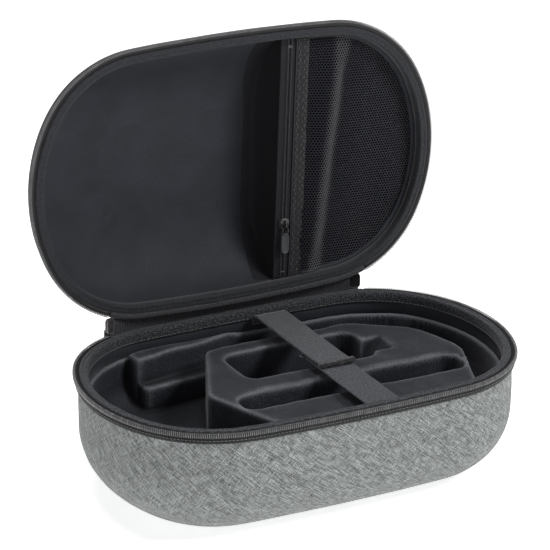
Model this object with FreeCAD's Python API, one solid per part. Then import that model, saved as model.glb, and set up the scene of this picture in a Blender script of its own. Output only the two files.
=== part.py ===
import math
import os

import FreeCAD, Part
from FreeCAD import Vector

# Zipped hard-shell carrying case, drawn with its lid standing open.  Millimetres, +Z up.
# X runs along the case, -Y is the front, +Y is the hinge side, and the origin is the
# middle of the flat bottom.  The lid is drawn closed, then turned open about its hinge.

# ---- the outline of both rims: eight tangent arcs ----
HALF_LENGTH = 155.0
HALF_WIDTH = 98.8
SIDE_RADIUS = 1320.0      # the two long, nearly straight sides
END_RADIUS = 118.0        # the two round ends
CORNER_RADIUS = 80.0      # the four arcs that join them

# ---- heights ----
PARTING_Z = 85.0          # where the two rims meet
RIM_GAP = 0.5             # each rim stops this far short of the parting plane
LID_HEIGHT = 45.0         # parting plane to the top of the closed lid

# ---- layers of the wall, counted inwards from the outline ----
COVER_IN = 3.6            # outer face of the fabric cover
COVER_THICK = 0.8
FOAM_THICK = 4.0
LINING_THICK = 0.8
BOTTOM_FILLET = 46.0      # the tub's outer bottom edge
DOME_REACH = 62.0         # how far the lid's round edge reaches inwards

# ---- rim trim ----
BINDING_IN = 4.5          # outer face of the woven lip
BINDING_THICK = 1.4       # cloth over the inner face of the wall
BINDING_DROP = 7.5        # how far the lip goes down the inner face
BINDING_ROUND = 2.4       # round edge of the lip
TAPE_THICK = 1.4
TAPE_WIDTH = 8.0
COIL_WIDTH = 2.6
COIL_HEIGHT = 2.0

# ---- hinge ----
HINGE_END_X = 100.0       # the zip stops here on both sides of the hinge
HINGE_Y = 95.2
HINGE_RISE = 9.6          # hinge axis above the parting plane
OPEN_ANGLE = 92.0         # how far the lid is drawn open
GUSSET_THICK = 1.0
GUSSET_LOW = 12.0         # how far the hinge strip is sewn down the tub
WELT_OUT = 0.6            # outermost line of the folded edges along the hinge
WELT_HEIGHT = 2.6

# ---- moulded insert ----
TRAY_GAP = 0.2
TRAY_THICK = 3.0
TRAY_TOP = 69.0
TRAY_FLOOR = 34.0
TRAY_FLOOR_THICK = 4.0
WELL_FILLET = 20.0
ISLAND_TOP = 72.0
ISLAND_WALL = 4.0
RECESS_FLOOR = 40.0
SLOT_FLOOR = 46.0
BLOCK_TOP = 71.5
STEP_TOP = 52.0

# ---- strap over the insert ----
STRAP_X = 22.0
STRAP_WIDTH = 25.0
STRAP_THICK = 1.6
STRAP_LOW_Z = 78.6        # underside of the elastic half
STRAP_PIVOT_Y = 85.0
STRAP_END_Y = -12.0       # free end of the loop-pile half
ELASTIC_END_Y = 6.0       # free end of the elastic half
FOLD_LENGTH = 7.0         # stitched fold at the free end of the loop-pile half
FOLD_PROUD = 1.2
ANCHOR_THICK = 1.3        # the ends sewn to the inner face of the wall
ANCHOR_DROP = 5.8

# ---- pocket in the lid ----
POCKET_DEPTH = 7.8        # front face of the pocket, from the parting plane
POCKET_SKIN = 1.0
ZIP_X = 40.5              # zip line at mid width
ZIP_SLANT = 3.0           # degrees, turned so that its hinge end lies further left
ZIP_TAPE_WIDTH = 4.5
ZIP_COIL_HALF = 1.6
HEM_WIDTH = 9.0
POCKET_SIDE_RUN = 26.0    # how far the pocket's side wall spreads to the left
SLIDER_Y = 48.0
ZIP_STOPS = (-80.5, 83.5) # ends of the zip, along it
STOP_HALF = 2.2

# ---- sliders and pulls ----
SLIDER_LENGTH = 9.0
SLIDER_WIDTH = 7.0
SLIDER_THICK = 3.0
TAB_LENGTH = 15.0
TAB_WIDTH = 6.4
TAB_HALF_THICK = 0.9
BAIL_WIRE = 1.2
RING_WIDTH = 5.0
RING_LENGTH = 6.5
RING_BACK = 3.9           # the ring starts this far behind the slider's front
END_TAB_WIDTH = 7.6       # pulls of the two main sliders
END_TAB_LENGTH = 10.5
END_TAB_HALF_THICK = 1.1
END_LOOP_WIDTH = 5.4
END_LOOP_LENGTH = 8.0
SLIDER_DROP = 1.0         # a main slider reaches this far below the parting plane
SLIDER_RISE = 10.0        # and this far above it, across both zip tapes
SLIDER_OFF = 0.4          # gap between the rims' outline and a main slider
SLIDER_TURN = 4.0         # degrees along the corner arc, from the zip's end to the hinge
GUSSET_SHORT = 7.0        # degrees of the corner arc that the hinge strip leaves free
PIN_DROP = 4.0            # a main slider's pull turns this far below its top

FOAM_IN = COVER_IN + COVER_THICK
LINING_IN = FOAM_IN + FOAM_THICK
INSIDE_IN = LINING_IN + LINING_THICK
FILLET_IN = COVER_IN + BOTTOM_FILLET
DOME_IN = COVER_IN + DOME_REACH
BASE_TOP = PARTING_Z - RIM_GAP
LID_LOW = PARTING_Z + RIM_GAP
HINGE_Z = PARTING_Z + HINGE_RISE


# ------------------------------------------------------------------ outline

def corner_centre():
    """Centre of the corner arc in the +X, +Y quarter: tangent to a side and to an end."""
    side = Vector(0, HALF_WIDTH - SIDE_RADIUS, 0)
    end = Vector(HALF_LENGTH - END_RADIUS, 0, 0)
    to_side = SIDE_RADIUS - CORNER_RADIUS
    to_end = END_RADIUS - CORNER_RADIUS
    apart = (end - side).Length
    along = (to_side ** 2 - to_end ** 2 + apart ** 2) / (2 * apart)
    across = math.sqrt(to_side ** 2 - along ** 2)
    unit = (end - side).normalize()
    return side + unit * along + Vector(unit.y, -unit.x, 0) * across


CORNER = corner_centre()
SIDE_TURN = math.degrees(math.atan2(CORNER.y - HALF_WIDTH + SIDE_RADIUS, CORNER.x))
END_TURN = math.degrees(math.atan2(CORNER.y, CORNER.x - HALF_LENGTH + END_RADIUS))
ZIP_TURN = math.degrees(math.acos((HINGE_END_X - CORNER.x) / CORNER_RADIUS))


def outline_arcs(stretch="all"):
    """Arcs (centre x, centre y, radius, start, end), anticlockwise, for a stretch of rim."""
    side_y = HALF_WIDTH - SIDE_RADIUS
    end_x = HALF_LENGTH - END_RADIUS
    last = ZIP_TURN if stretch == "zip" else SIDE_TURN
    starts = {"hinge": ZIP_TURN, "gusset": ZIP_TURN + GUSSET_SHORT}
    first = starts.get(stretch, END_TURN)
    arcs = []
    if stretch not in starts:
        arcs.append((end_x, 0, END_RADIUS, -END_TURN, END_TURN))
        arcs.append((-end_x, 0, END_RADIUS, 180 - END_TURN, 180 + END_TURN))
        arcs.append((-CORNER.x, -CORNER.y, CORNER_RADIUS, 180 + END_TURN, 180 + SIDE_TURN))
        arcs.append((0, -side_y, SIDE_RADIUS, 180 + SIDE_TURN, 360 - SIDE_TURN))
        arcs.append((CORNER.x, -CORNER.y, CORNER_RADIUS, -SIDE_TURN, -END_TURN))
    if stretch != "zip":
        arcs.append((0, side_y, SIDE_RADIUS, SIDE_TURN, 180 - SIDE_TURN))
    arcs.append((CORNER.x, CORNER.y, CORNER_RADIUS, first, last))
    arcs.append((-CORNER.x, CORNER.y, CORNER_RADIUS, 180 - last, 180 - first))
    return arcs


def on_arc(arc, angle, inward, z):
    """Point at an angle on an arc, a distance inside the outline."""
    turn = math.radians(angle)
    reach = arc[2] - inward
    return Vector(arc[0] + reach * math.cos(turn), arc[1] + reach * math.sin(turn), z)


def sweep(profile, stretch="all"):
    """Turn a profile of (inward, z) corners about every arc of a stretch.

    A corner with four numbers is reached by an arc: its middle point, then its end point.
    """
    pieces = []
    for arc in outline_arcs(stretch):
        edges = []
        here = on_arc(arc, arc[3], profile[0][0], profile[0][1])
        for corner in profile[1:] + profile[:1]:
            there = on_arc(arc, arc[3], corner[-2], corner[-1])
            if len(corner) == 4:
                middle = on_arc(arc, arc[3], corner[0], corner[1])
                edges.append(Part.Arc(here, middle, there).toShape())
            elif (there - here).Length > 1e-6:
                edges.append(Part.makeLine(here, there))
            here = there
        face = Part.Face(Part.Wire(edges))
        axis = Vector(arc[0], arc[1], 0)
        pieces.append(face.revolve(axis, Vector(0, 0, 1), arc[4] - arc[3]))
    return join(pieces)


def slab(inward, low, high):
    """Solid plate of the outline's shape, set in by a distance."""
    arcs = sorted(outline_arcs(), key=lambda arc: (arc[3] + arc[4]) / 2 % 360)
    edges = []
    for arc in arcs:
        ends = [on_arc(arc, angle, inward, low) for angle in (arc[3], arc[4])]
        middle = on_arc(arc, (arc[3] + arc[4]) / 2, inward, low)
        edges.append(Part.Arc(ends[0], middle, ends[1]).toShape())
    return Part.Face(Part.Wire(Part.__sortEdges__(edges))).extrude(Vector(0, 0, high - low))


def join(shapes):
    """One solid from shapes that touch or overlap."""
    return shapes[0].multiFuse(shapes[1:]).removeSplitter()


# ------------------------------------------------------------------ plain solids

def box(x0, x1, y0, y1, z0, z1):
    return Part.makeBox(x1 - x0, y1 - y0, z1 - z0, Vector(x0, y0, z0))


def rounded_box(x0, x1, y0, y1, z0, z1, radius):
    """Box with its four upright edges rounded."""
    corners = [(x0, y0, radius), (x1, y0, radius), (x1, y1, radius), (x0, y1, radius)]
    return prism(corners, z0, z1)


def prism(corners, low, high):
    """Upright prism on a polygon of (x, y, corner radius), anticlockwise."""
    edges = []
    count = len(corners)
    starts = []
    for index in range(count):
        here = Vector(corners[index][0], corners[index][1], low)
        before = Vector(corners[index - 1][0], corners[index - 1][1], low)
        following = corners[(index + 1) % count]
        after = Vector(following[0], following[1], low)
        to_before = (before - here).normalize()
        to_after = (after - here).normalize()
        half = to_before.getAngle(to_after) / 2
        radius = corners[index][2]
        back = radius / math.tan(half)
        centre_way = (to_before + to_after).normalize()
        middle = here + centre_way * (radius / math.sin(half) - radius)
        starts.append((here + to_before * back, middle, here + to_after * back))
    for index in range(count):
        start, middle, end = starts[index]
        if (end - start).Length > 1e-6:
            edges.append(Part.Arc(start, middle, end).toShape())
        following = starts[(index + 1) % count][0]
        if (following - end).Length > 1e-6:
            edges.append(Part.makeLine(end, following))
    return Part.Face(Part.Wire(edges)).extrude(Vector(0, 0, high - low))


def loop(width, length, wire):
    """Flat wire loop in the XY plane: closed at y = length, its feet at y = 0."""
    half = width / 2
    outer = rounded_box(-half, half, 0, length, -wire / 2, wire / 2, wire)
    inner = rounded_box(wire - half, half - wire, wire, length - wire, -wire, wire, wire / 2)
    return outer.cut(inner)


# ------------------------------------------------------------------ tub and dome

def tub(inward, lift, top):
    """Solid tub whose wall starts inward of the outline and whose bottom is lifted."""
    radius = FILLET_IN - inward
    centre_z = BOTTOM_FILLET
    slant = radius * math.sqrt(0.5)
    profile = [
        (FILLET_IN, top),
        (inward, top),
        (inward, centre_z),
        (FILLET_IN - slant, centre_z - slant, FILLET_IN, lift),
    ]
    return join([sweep(profile), slab(FILLET_IN, lift, top)])


def dome(inward, height):
    """Solid lid shape: its wall rounds over in a quarter ellipse."""
    reach = DOME_IN - inward
    steps = [math.radians(15 * step) for step in range(7)]
    points = [(DOME_IN - reach * math.cos(t), LID_LOW + height * math.sin(t)) for t in steps]
    profile = [(DOME_IN, LID_LOW), points[0]]
    for index in (0, 2, 4):
        profile.append(points[index + 1] + points[index + 2])
    return join([sweep(profile), slab(DOME_IN, LID_LOW, LID_LOW + height)])


def base_layers():
    """The tub's fabric cover, foam wall and lining, from outside to inside."""
    outside = tub(COVER_IN, 0, BASE_TOP - BINDING_ROUND)
    foam = tub(FOAM_IN, COVER_THICK, BASE_TOP - BINDING_ROUND)
    lining_lift = COVER_THICK + FOAM_THICK
    lining = tub(LINING_IN, lining_lift, BASE_TOP - BINDING_ROUND)
    inside = tub(INSIDE_IN, lining_lift + LINING_THICK, BASE_TOP)
    cover = outside.cut(foam)
    bottom = slab(FILLET_IN, 0, COVER_THICK)
    return {
        "base_cover": cover.cut(bottom),
        "base_cover_bottom": bottom,
        "base_shell": foam.cut(lining),
        "base_lining": lining.cut(inside),
    }


def lid_layers():
    """The lid's fabric cover, foam wall and lining, from outside to inside."""
    full = LID_HEIGHT - RIM_GAP
    outside = dome(COVER_IN, full)
    foam = dome(FOAM_IN, full - COVER_THICK)
    lining = dome(LINING_IN, full - COVER_THICK - FOAM_THICK)
    inside = dome(INSIDE_IN, full - COVER_THICK - FOAM_THICK - LINING_THICK)
    edge = slab(0, LID_LOW - 1, LID_LOW + BINDING_ROUND)
    behind_lip = slab(0, LID_LOW - 1, LID_LOW + BINDING_DROP)
    return {
        "lid_cover": outside.cut(foam).cut(edge),
        "lid_shell": foam.cut(lining).cut(edge),
        "lid_lining": lining.cut(inside).cut(behind_lip),
    }, inside


# ------------------------------------------------------------------ rim trim

def rim_trim(prefix, rim, way):
    """Woven lip, zip tape and zip coil of one rim; way is -1 on the tub and 1 on the lid."""
    inner = INSIDE_IN + BINDING_THICK
    round_by = BINDING_ROUND * (1 - math.sqrt(0.5))
    shoulder = rim + way * BINDING_ROUND
    lip = [
        (BINDING_IN, shoulder),
        (BINDING_IN + round_by, rim + way * round_by, BINDING_IN + BINDING_ROUND, rim),
        (inner - BINDING_ROUND, rim),
        (inner - round_by, rim + way * round_by, inner, shoulder),
        (inner, rim + way * BINDING_DROP),
        (INSIDE_IN, rim + way * BINDING_DROP),
        (INSIDE_IN, shoulder),
    ]
    tape_out = COVER_IN - TAPE_THICK
    tape = [
        (tape_out, rim + way * COIL_HEIGHT),
        (COVER_IN, rim + way * COIL_HEIGHT),
        (COVER_IN, rim + way * TAPE_WIDTH),
        (tape_out, rim + way * TAPE_WIDTH),
    ]
    coil_mid = rim + way * COIL_HEIGHT / 2
    coil = [
        (COIL_WIDTH / 2, rim),
        (0, coil_mid, COIL_WIDTH / 2, rim + way * COIL_HEIGHT),
        (COIL_WIDTH + 1, rim + way * COIL_HEIGHT),
        (COIL_WIDTH + 1, rim + way * COIL_HEIGHT / 3),
    ]
    return {
        prefix + "_binding": sweep(lip),
        prefix + "_zip_tape": sweep(tape, "zip"),
        prefix + "_zip_coil": sweep(coil, "zip"),
    }


def hinge_gusset():
    """Ribbed strip that joins tub and lid along the hinge, outside both walls."""
    top = HINGE_Z - 1.2
    low = PARTING_Z - GUSSET_LOW
    outer = COVER_IN - 0.1 - GUSSET_THICK
    inner = COVER_IN - 0.1
    return sweep([(outer, low), (inner, low), (inner, top), (outer, top)], "gusset")


def hinge_welt(inner, rim, way):
    """Folded edge that takes the zip's place along the hinge of one rim."""
    outer = WELT_OUT
    near = rim + way * 0.2
    far = rim + way * WELT_HEIGHT
    middle = (near + far) / 2
    half = abs(far - near) / 2
    fold = [(outer + half, near), (outer, middle, outer + half, far), (inner, far), (inner, near)]
    return sweep(fold, "hinge")


# ------------------------------------------------------------------ insert

def island_outline():
    """Plan of the raised island: a pointed left end, a round right end, open to the front."""
    return [
        (-38, -92, 2),
        (97, -92, 2),
        (107, -56, 10),
        (125, -8, 30),
        (114, 36, 24),
        (72, 66, 28),
        (-38, 65, 12),
        (-70, -6, 9),
    ]


def insert_tray():
    """Moulded insert: outer wall, well floor, raised island and the stepped block behind."""
    outer = INSIDE_IN + TRAY_GAP
    inner = outer + TRAY_THICK
    low = TRAY_FLOOR - TRAY_FLOOR_THICK
    centre = (FILLET_IN, BOTTOM_FILLET)
    radius = FILLET_IN - outer
    foot = centre[0] - math.sqrt(radius ** 2 - (centre[1] - low) ** 2)
    half_turn = math.asin((centre[1] - low) / radius) / 2
    middle = (centre[0] - radius * math.cos(half_turn), centre[1] - radius * math.sin(half_turn))
    round_by = WELL_FILLET * (1 - math.sqrt(0.5))
    reach = inner + WELL_FILLET
    wall = [
        (outer, TRAY_TOP),
        (outer, centre[1]),
        middle + (foot, low),
        (reach, low),
        (reach, TRAY_FLOOR),
        (inner + round_by, TRAY_FLOOR + round_by, inner, TRAY_FLOOR + WELL_FILLET),
        (inner, TRAY_TOP),
    ]
    tray = join([sweep(wall), slab(reach, low, TRAY_FLOOR)])
    room = slab(inner - 1, low, ISLAND_TOP + 1)
    room = room.common(tub(outer, centre[1] - radius, ISLAND_TOP + 1))
    island = prism(island_outline(), low, ISLAND_TOP).common(room)
    block = [(-87, 70, 3), (-30, 81, 2), (0, 88, 1), (-30, 99, 1), (-90, 99, 1)]
    step = [(-84, 63, 5), (-30, 69, 3), (-30, 99, 1), (-88, 99, 1)]
    ledge = prism(block, low, BLOCK_TOP).fuse(prism(step, low, STEP_TOP)).common(room)
    tray = join([tray, island, ledge])
    return tray.cut(tray_hollow(low)).cut(recess(0)).cut(slot(0)).cut(ramp())


def recess(grow):
    """Deep recess behind the middle of the island, grown outwards by a wall."""
    top = ISLAND_TOP + 1 - grow
    x0, x1 = -33 - grow, 67 + grow
    return rounded_box(x0, x1, 5 - grow, 51 + grow, RECESS_FLOOR - grow, top, 10 + grow)


def slot(grow):
    """Long narrow slot along the front of the island, grown outwards by a wall."""
    top = ISLAND_TOP + 1 - grow
    x0, x1 = -56 - grow, 112 + grow
    return rounded_box(x0, x1, -40 - grow, -17 + grow, SLOT_FLOOR - grow, top, 9 + grow)


def ramp():
    """Finger ramp at the right end of the recess."""
    points = [(62, 48), (62, ISLAND_TOP + 1), (84, ISLAND_TOP + 1), (62, 48)]
    wire = Part.makePolygon([Vector(x, 13, z) for x, z in points])
    return Part.Face(wire).extrude(Vector(0, 20, 0))


def tray_hollow(low):
    """Empty space under the island, leaving its walls, its top and the pocket walls."""
    skin = ISLAND_WALL
    inside = [
        (-30, -74, 3),
        (93, -74, 3),
        (102, -54, 10),
        (119, -8, 28),
        (109, 33, 22),
        (70, 60, 26),
        (-36, 60, 9),
        (-63, -6, 6),
    ]
    hollow = prism(inside, low - 1, ISLAND_TOP - skin)
    return hollow.cut(recess(skin)).cut(slot(skin)).cut(box(58, 90, 9, 37, low, ISLAND_TOP))


# ------------------------------------------------------------------ strap

def strap_pieces():
    """Two-part strap: elastic half from the front, loop-pile half from the hinge side."""
    x0 = STRAP_X - STRAP_WIDTH / 2
    x1 = STRAP_X + STRAP_WIDTH / 2
    start = STRAP_PIVOT_Y - 0.4
    elastic_top = STRAP_LOW_Z + STRAP_THICK
    loop_low = elastic_top + 0.4
    loop_top = loop_low + STRAP_THICK
    anchor_y = HALF_WIDTH - INSIDE_IN - BINDING_THICK - 0.6
    anchor_low = STRAP_LOW_Z - ANCHOR_DROP
    tip_y = ELASTIC_END_Y + 0.1
    fold_y = STRAP_END_Y - 0.1
    fold_top = loop_top + FOLD_PROUD
    patch_low = elastic_top + 0.05
    back = anchor_y - ANCHOR_THICK
    return {
        "strap_elastic": box(x0, x1, -start, ELASTIC_END_Y, STRAP_LOW_Z, elastic_top),
        "strap_elastic_tip": box(x0 - 1.5, x0 + 9, tip_y, tip_y + 5, STRAP_LOW_Z, elastic_top),
        "strap_loop_webbing": box(x0, x1, STRAP_END_Y, start, loop_low, loop_top),
        "strap_hook_patch": box(x0 + 1, x1 - 1, STRAP_END_Y, ELASTIC_END_Y, patch_low, loop_low),
        "strap_end_fold": box(x0, x1 + 1.5, fold_y - FOLD_LENGTH, fold_y, patch_low, fold_top),
        "strap_back_anchor": box(x0, x1, back, anchor_y, anchor_low, loop_top),
        "strap_front_anchor": box(x0, x1, -anchor_y, -back, anchor_low, elastic_top),
    }


# ------------------------------------------------------------------ pocket

def along_zip(shape):
    """Turn a solid drawn along the Y axis onto the pocket's slanted zip line."""
    placed = shape.copy()
    placed.rotate(Vector(0, 0, 0), Vector(0, 0, 1), ZIP_SLANT)
    placed.translate(Vector(ZIP_X, 0, 0))
    return placed


def pocket_pieces(inside):
    """Mesh pocket over the right end of the lid, with its zip, hem and side wall."""
    low = PARTING_Z + POCKET_DEPTH
    high = low + POCKET_SKIN
    room = slab(INSIDE_IN + BINDING_THICK + 0.6, low, high)
    bands = {}
    left = -ZIP_COIL_HALF - ZIP_TAPE_WIDTH
    right = ZIP_COIL_HALF + ZIP_TAPE_WIDTH
    edges = {
        "pocket_zip_tape_left": (left, -ZIP_COIL_HALF),
        "pocket_zip_tape_right": (ZIP_COIL_HALF, right),
        "pocket_hem_band": (right, right + HEM_WIDTH),
        "pocket_mesh": (right + HEM_WIDTH, right + 120),
    }
    for name, (x0, x1) in edges.items():
        bands[name] = along_zip(box(x0, x1, -120, 120, low, high)).common(room)
    coils = []
    coil_room = slab(15, low - 1, high)
    for side in (-1, 1):
        x0, x1 = sorted((side * 0.1, side * ZIP_COIL_HALF))
        coil = box(x0, x1, ZIP_STOPS[0] + 2.5, ZIP_STOPS[1] - 1.5, low - 0.6, high)
        coils.append(along_zip(coil).common(coil_room))
    bands["pocket_zip_coil"] = Part.Compound(coils)
    for name, place in zip(("pocket_zip_stop_top", "pocket_zip_stop_bottom"), ZIP_STOPS):
        stop = box(-STOP_HALF, STOP_HALF, place - 1, place + 1, low - 1, low - 0.05)
        bands[name] = along_zip(stop)
    bands["pocket_side_wall"] = pocket_side_wall(inside, left)
    return bands


def pocket_side_wall(inside, left):
    """Cloth wall that slopes from the zip's left tape up to the lid's lining."""
    low = PARTING_Z + POCKET_DEPTH
    deep = PARTING_Z + LID_HEIGHT
    points = [
        (left - 0.1, low),
        (left - 0.1, low + 2.5),
        (left - POCKET_SIDE_RUN, deep),
        (left - POCKET_SIDE_RUN - 2.5, deep),
        (left - 2.5, low),
        (left - 0.1, low),
    ]
    wire = Part.makePolygon([Vector(x, -120, z) for x, z in points])
    wall = along_zip(Part.Face(wire).extrude(Vector(0, 240, 0)))
    room = inside.common(slab(INSIDE_IN + BINDING_THICK + 0.6, LID_LOW, PARTING_Z + LID_HEIGHT))
    return wall.common(room)


def pocket_slider_pieces():
    """Pocket slider, its bail, the ring and the pull tab, drawn in the closed lid."""
    face = PARTING_Z + POCKET_DEPTH - 0.7
    body_low = face - SLIDER_THICK + 0.6
    y0 = SLIDER_Y - SLIDER_LENGTH / 2
    y1 = SLIDER_Y + SLIDER_LENGTH / 2
    half = SLIDER_WIDTH / 2
    body = rounded_box(-half, half, y0, y1, body_low, face, 2)
    bail_low = body_low - 2.4
    bail = box(-0.9, 0.9, y0 + 1.5, y1 - 1.0, bail_low, body_low)
    eye = box(-2, 2, y1 - 4.3, y1 - 2.2, bail_low + 0.5, body_low + 1)
    ring_z = body_low - 0.95
    ring = loop(RING_WIDTH, RING_LENGTH, BAIL_WIRE)
    ring_foot = Vector(0, y1 - RING_BACK, ring_z)
    ring.translate(ring_foot)
    tab_y = y1 + 1.2
    half_tab = TAB_WIDTH / 2
    tab_low = ring_z - TAB_HALF_THICK
    tab_high = ring_z + TAB_HALF_THICK
    tab = rounded_box(-half_tab, half_tab, tab_y, tab_y + TAB_LENGTH, tab_low, tab_high, 1.8)
    ring_room = loop(RING_WIDTH + 0.2, RING_LENGTH + 0.1, BAIL_WIRE + 0.2)
    ring_room.translate(ring_foot)
    return {
        "pocket_slider_body": along_zip(body),
        "pocket_slider_bail": along_zip(bail.cut(eye)),
        "pocket_pull_ring": along_zip(ring),
        "pocket_pull_tab": along_zip(tab.cut(ring_room)),
    }


# ------------------------------------------------------------------ main zip sliders

def upright(shape, y, z):
    """Stand a flat shape up, from the XY plane into the XZ plane."""
    shape.rotate(Vector(0, 0, 0), Vector(1, 0, 0), 90)
    shape.translate(Vector(0, y, z))
    return shape


def zip_slider(side):
    """Main slider parked at one end of the hinge, with its bail, and its pull hanging down."""
    name = "left" if side < 0 else "right"
    half = SLIDER_LENGTH / 2
    low = PARTING_Z - SLIDER_DROP
    high = PARTING_Z + SLIDER_RISE
    bail_y = SLIDER_OFF + SLIDER_THICK
    body = box(-half, half, SLIDER_OFF, bail_y, low, high)
    pin_z = high - PIN_DROP
    bail = box(-1.0, 1.0, bail_y, bail_y + 3.0, pin_z - 2.4, pin_z + 2.1)
    eye = box(-2, 2, bail_y - 1, bail_y + 2.3, pin_z - 1.0, pin_z + 1.0)
    pull_y = bail_y + 1.3
    stem = upright(loop(END_LOOP_WIDTH, END_LOOP_LENGTH, BAIL_WIRE), pull_y, pin_z - 0.6)
    half_tab = END_TAB_WIDTH / 2
    half_thick = END_TAB_HALF_THICK
    tab = rounded_box(-half_tab, half_tab, 0, END_TAB_LENGTH, -half_thick, half_thick, 2.6)
    tab = upright(tab, pull_y, pin_z + 3.8)
    room = loop(END_LOOP_WIDTH + 0.2, END_LOOP_LENGTH + 0.2, BAIL_WIRE + 0.2)
    room = upright(room, pull_y, pin_z - 0.7)
    tab = tab.cut(room)
    for shape in (stem, tab):
        shape.rotate(Vector(0, pull_y, pin_z), Vector(1, 0, 0), 180)
    turn = ZIP_TURN + SLIDER_TURN
    foot = on_arc((CORNER.x, CORNER.y, CORNER_RADIUS), turn, 0, 0)
    placed = {}
    pieces = {"body": body, "bail": bail.cut(eye), "pull_loop": stem, "pull_tab": tab}
    for part, shape in pieces.items():
        shape.rotate(Vector(0, 0, 0), Vector(0, 0, 1), turn - 90)
        shape.translate(foot)
        if side < 0:
            shape = shape.mirror(Vector(0, 0, 0), Vector(1, 0, 0))
        placed[name + "_slider_" + part] = shape
    return placed


# ------------------------------------------------------------------ whole case

def opened(shape):
    """Turn a closed-lid solid about the hinge to where the lid stands."""
    turned = shape.copy()
    turned.rotate(Vector(0, HINGE_Y, HINGE_Z), Vector(1, 0, 0), -OPEN_ANGLE)
    return turned


def build():
    pieces = dict(base_layers())
    pieces.update(rim_trim("base", BASE_TOP, -1))
    pieces["insert_tray"] = insert_tray()
    pieces["hinge_gusset"] = hinge_gusset()
    pieces["base_hinge_welt"] = hinge_welt(COVER_IN - 0.2 - GUSSET_THICK, BASE_TOP, -1)
    pieces.update(strap_pieces())
    for side in (-1, 1):
        pieces.update(zip_slider(side))
    lid, inside = lid_layers()
    lid.update(rim_trim("lid", LID_LOW, 1))
    lid["lid_hinge_welt"] = hinge_welt(BINDING_IN - 0.1, LID_LOW, 1)
    lid["lid_cover"] = lid["lid_cover"].cut(lid["lid_hinge_welt"])
    lid["lid_shell"] = lid["lid_shell"].cut(lid["lid_binding"])
    lid.update(pocket_pieces(inside))
    lid.update(pocket_slider_pieces())
    for name, shape in lid.items():
        pieces[name] = opened(shape)
    return pieces


os.makedirs("parts", exist_ok=True)
for name, shape in build().items():
    shape.exportStep("parts/" + name + ".step")
    print(name, shape.isValid(), len(shape.Solids), round(shape.Volume / 1000, 2))
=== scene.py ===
import math

import bmesh
import bpy
import numpy as np
from mathutils import Matrix, Vector


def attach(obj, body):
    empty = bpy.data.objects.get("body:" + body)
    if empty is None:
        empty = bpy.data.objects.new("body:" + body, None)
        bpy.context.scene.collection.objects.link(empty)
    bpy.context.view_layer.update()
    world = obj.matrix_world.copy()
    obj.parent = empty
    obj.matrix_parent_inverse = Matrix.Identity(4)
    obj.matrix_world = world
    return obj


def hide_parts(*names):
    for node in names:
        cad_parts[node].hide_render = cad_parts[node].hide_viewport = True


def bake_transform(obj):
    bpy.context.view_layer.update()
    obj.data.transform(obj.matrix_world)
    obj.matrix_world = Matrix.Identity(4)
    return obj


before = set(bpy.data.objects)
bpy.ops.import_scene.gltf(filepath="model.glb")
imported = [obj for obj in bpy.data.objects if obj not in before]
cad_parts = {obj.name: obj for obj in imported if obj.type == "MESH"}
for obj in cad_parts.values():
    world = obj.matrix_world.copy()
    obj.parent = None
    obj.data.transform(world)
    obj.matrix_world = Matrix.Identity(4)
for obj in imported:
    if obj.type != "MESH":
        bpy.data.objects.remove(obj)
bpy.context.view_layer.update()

# All lengths are in millimetres until a mesh is made.  The numbers repeat those of the part.
MM = 0.001
UP = (0.0, 0.0, 1.0)

# ---- outline of both rims, heights and wall layers, counted inwards from the outline ----
HALF_LENGTH = 155.0
HALF_WIDTH = 98.8
SIDE_RADIUS = 1320.0
END_RADIUS = 118.0
CORNER_RADIUS = 80.0
BASE_TOP = 84.5
LID_LOW = 85.5
LID_FULL = 44.5
COVER_IN = 3.6
INSIDE_IN = 9.2
LIP_IN = 10.6
LIP_DROP = 7.5
BOTTOM_FILLET = 46.0
FILLET_IN = COVER_IN + BOTTOM_FILLET
DOME_IN = 65.6
LINING_HIGH = 38.9
RIMS = {"base": (BASE_TOP, -1), "lid": (LID_LOW, 1)}     # height of each rim, and the way to its wall
RIM_STEP = 3.0
DOME_STEPS = 26
RIPPLE_SIZE = 40
COVER_RIPPLE = 0.12
COVER_TUCK = 0.8

# ---- woven lip; sections are (inward from the outline, distance back from the rim's face) ----
LIP_STEP = 1.6
LIP_SEAM = 14.0
LIP_STITCH_DROP = 6.4
LIP_SECTION = [
    (4.5, 3.0), (4.45, 1.6), (4.7, 0.7), (5.3, 0.15), (6.1, 0.0), (7.0, 0.25), (7.7, 0.4),
    (8.3, 0.2), (9.1, 0.05), (9.9, 0.35), (10.4, 1.0), (LIP_IN, 1.9), (LIP_IN + 0.05, 4.0),
    (LIP_IN, 6.6), (10.45, 7.4), (10.0, LIP_DROP), (9.3, LIP_DROP), (9.3, 3.0),
]

# ---- main zip ----
TOOTH_PITCH = 1.4
TOOTH_RADIUS = 0.29
TOOTH_PATH = [
    (-0.3, -2.0, 3.2), (-0.3, -2.05, 1.3), (-0.16, -1.75, 0.25), (0.0, -1.15, -0.1),
    (0.16, -0.6, 0.2), (0.3, -0.42, 1.1), (0.3, -0.5, 2.3), (0.3, -1.1, 3.2),
]
CORE_SECTION = [(1.1, 1.2), (1.4, 0.8), (4.7, 0.75), (4.7, 3.6), (2.2, 4.4), (1.6, 4.3), (1.3, 3.2)]
TAPE_SECTION = [
    (4.3, 3.7), (3.5, 3.7), (2.5, 3.8), (1.6, 4.0), (1.3, 4.7), (1.5, 6.6),
    (2.2, 7.8), (2.9, 8.05), (3.5, 8.0), (3.7, 7.0), (3.9, 4.6),
]
WELT_SECTION = [
    (4.7, 0.6), (3.4, 0.3), (2.2, 0.25), (1.1, 0.5), (0.7, 1.3),
    (1.1, 2.1), (2.2, 2.5), (3.4, 2.6), (4.7, 2.4),
]

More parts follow.
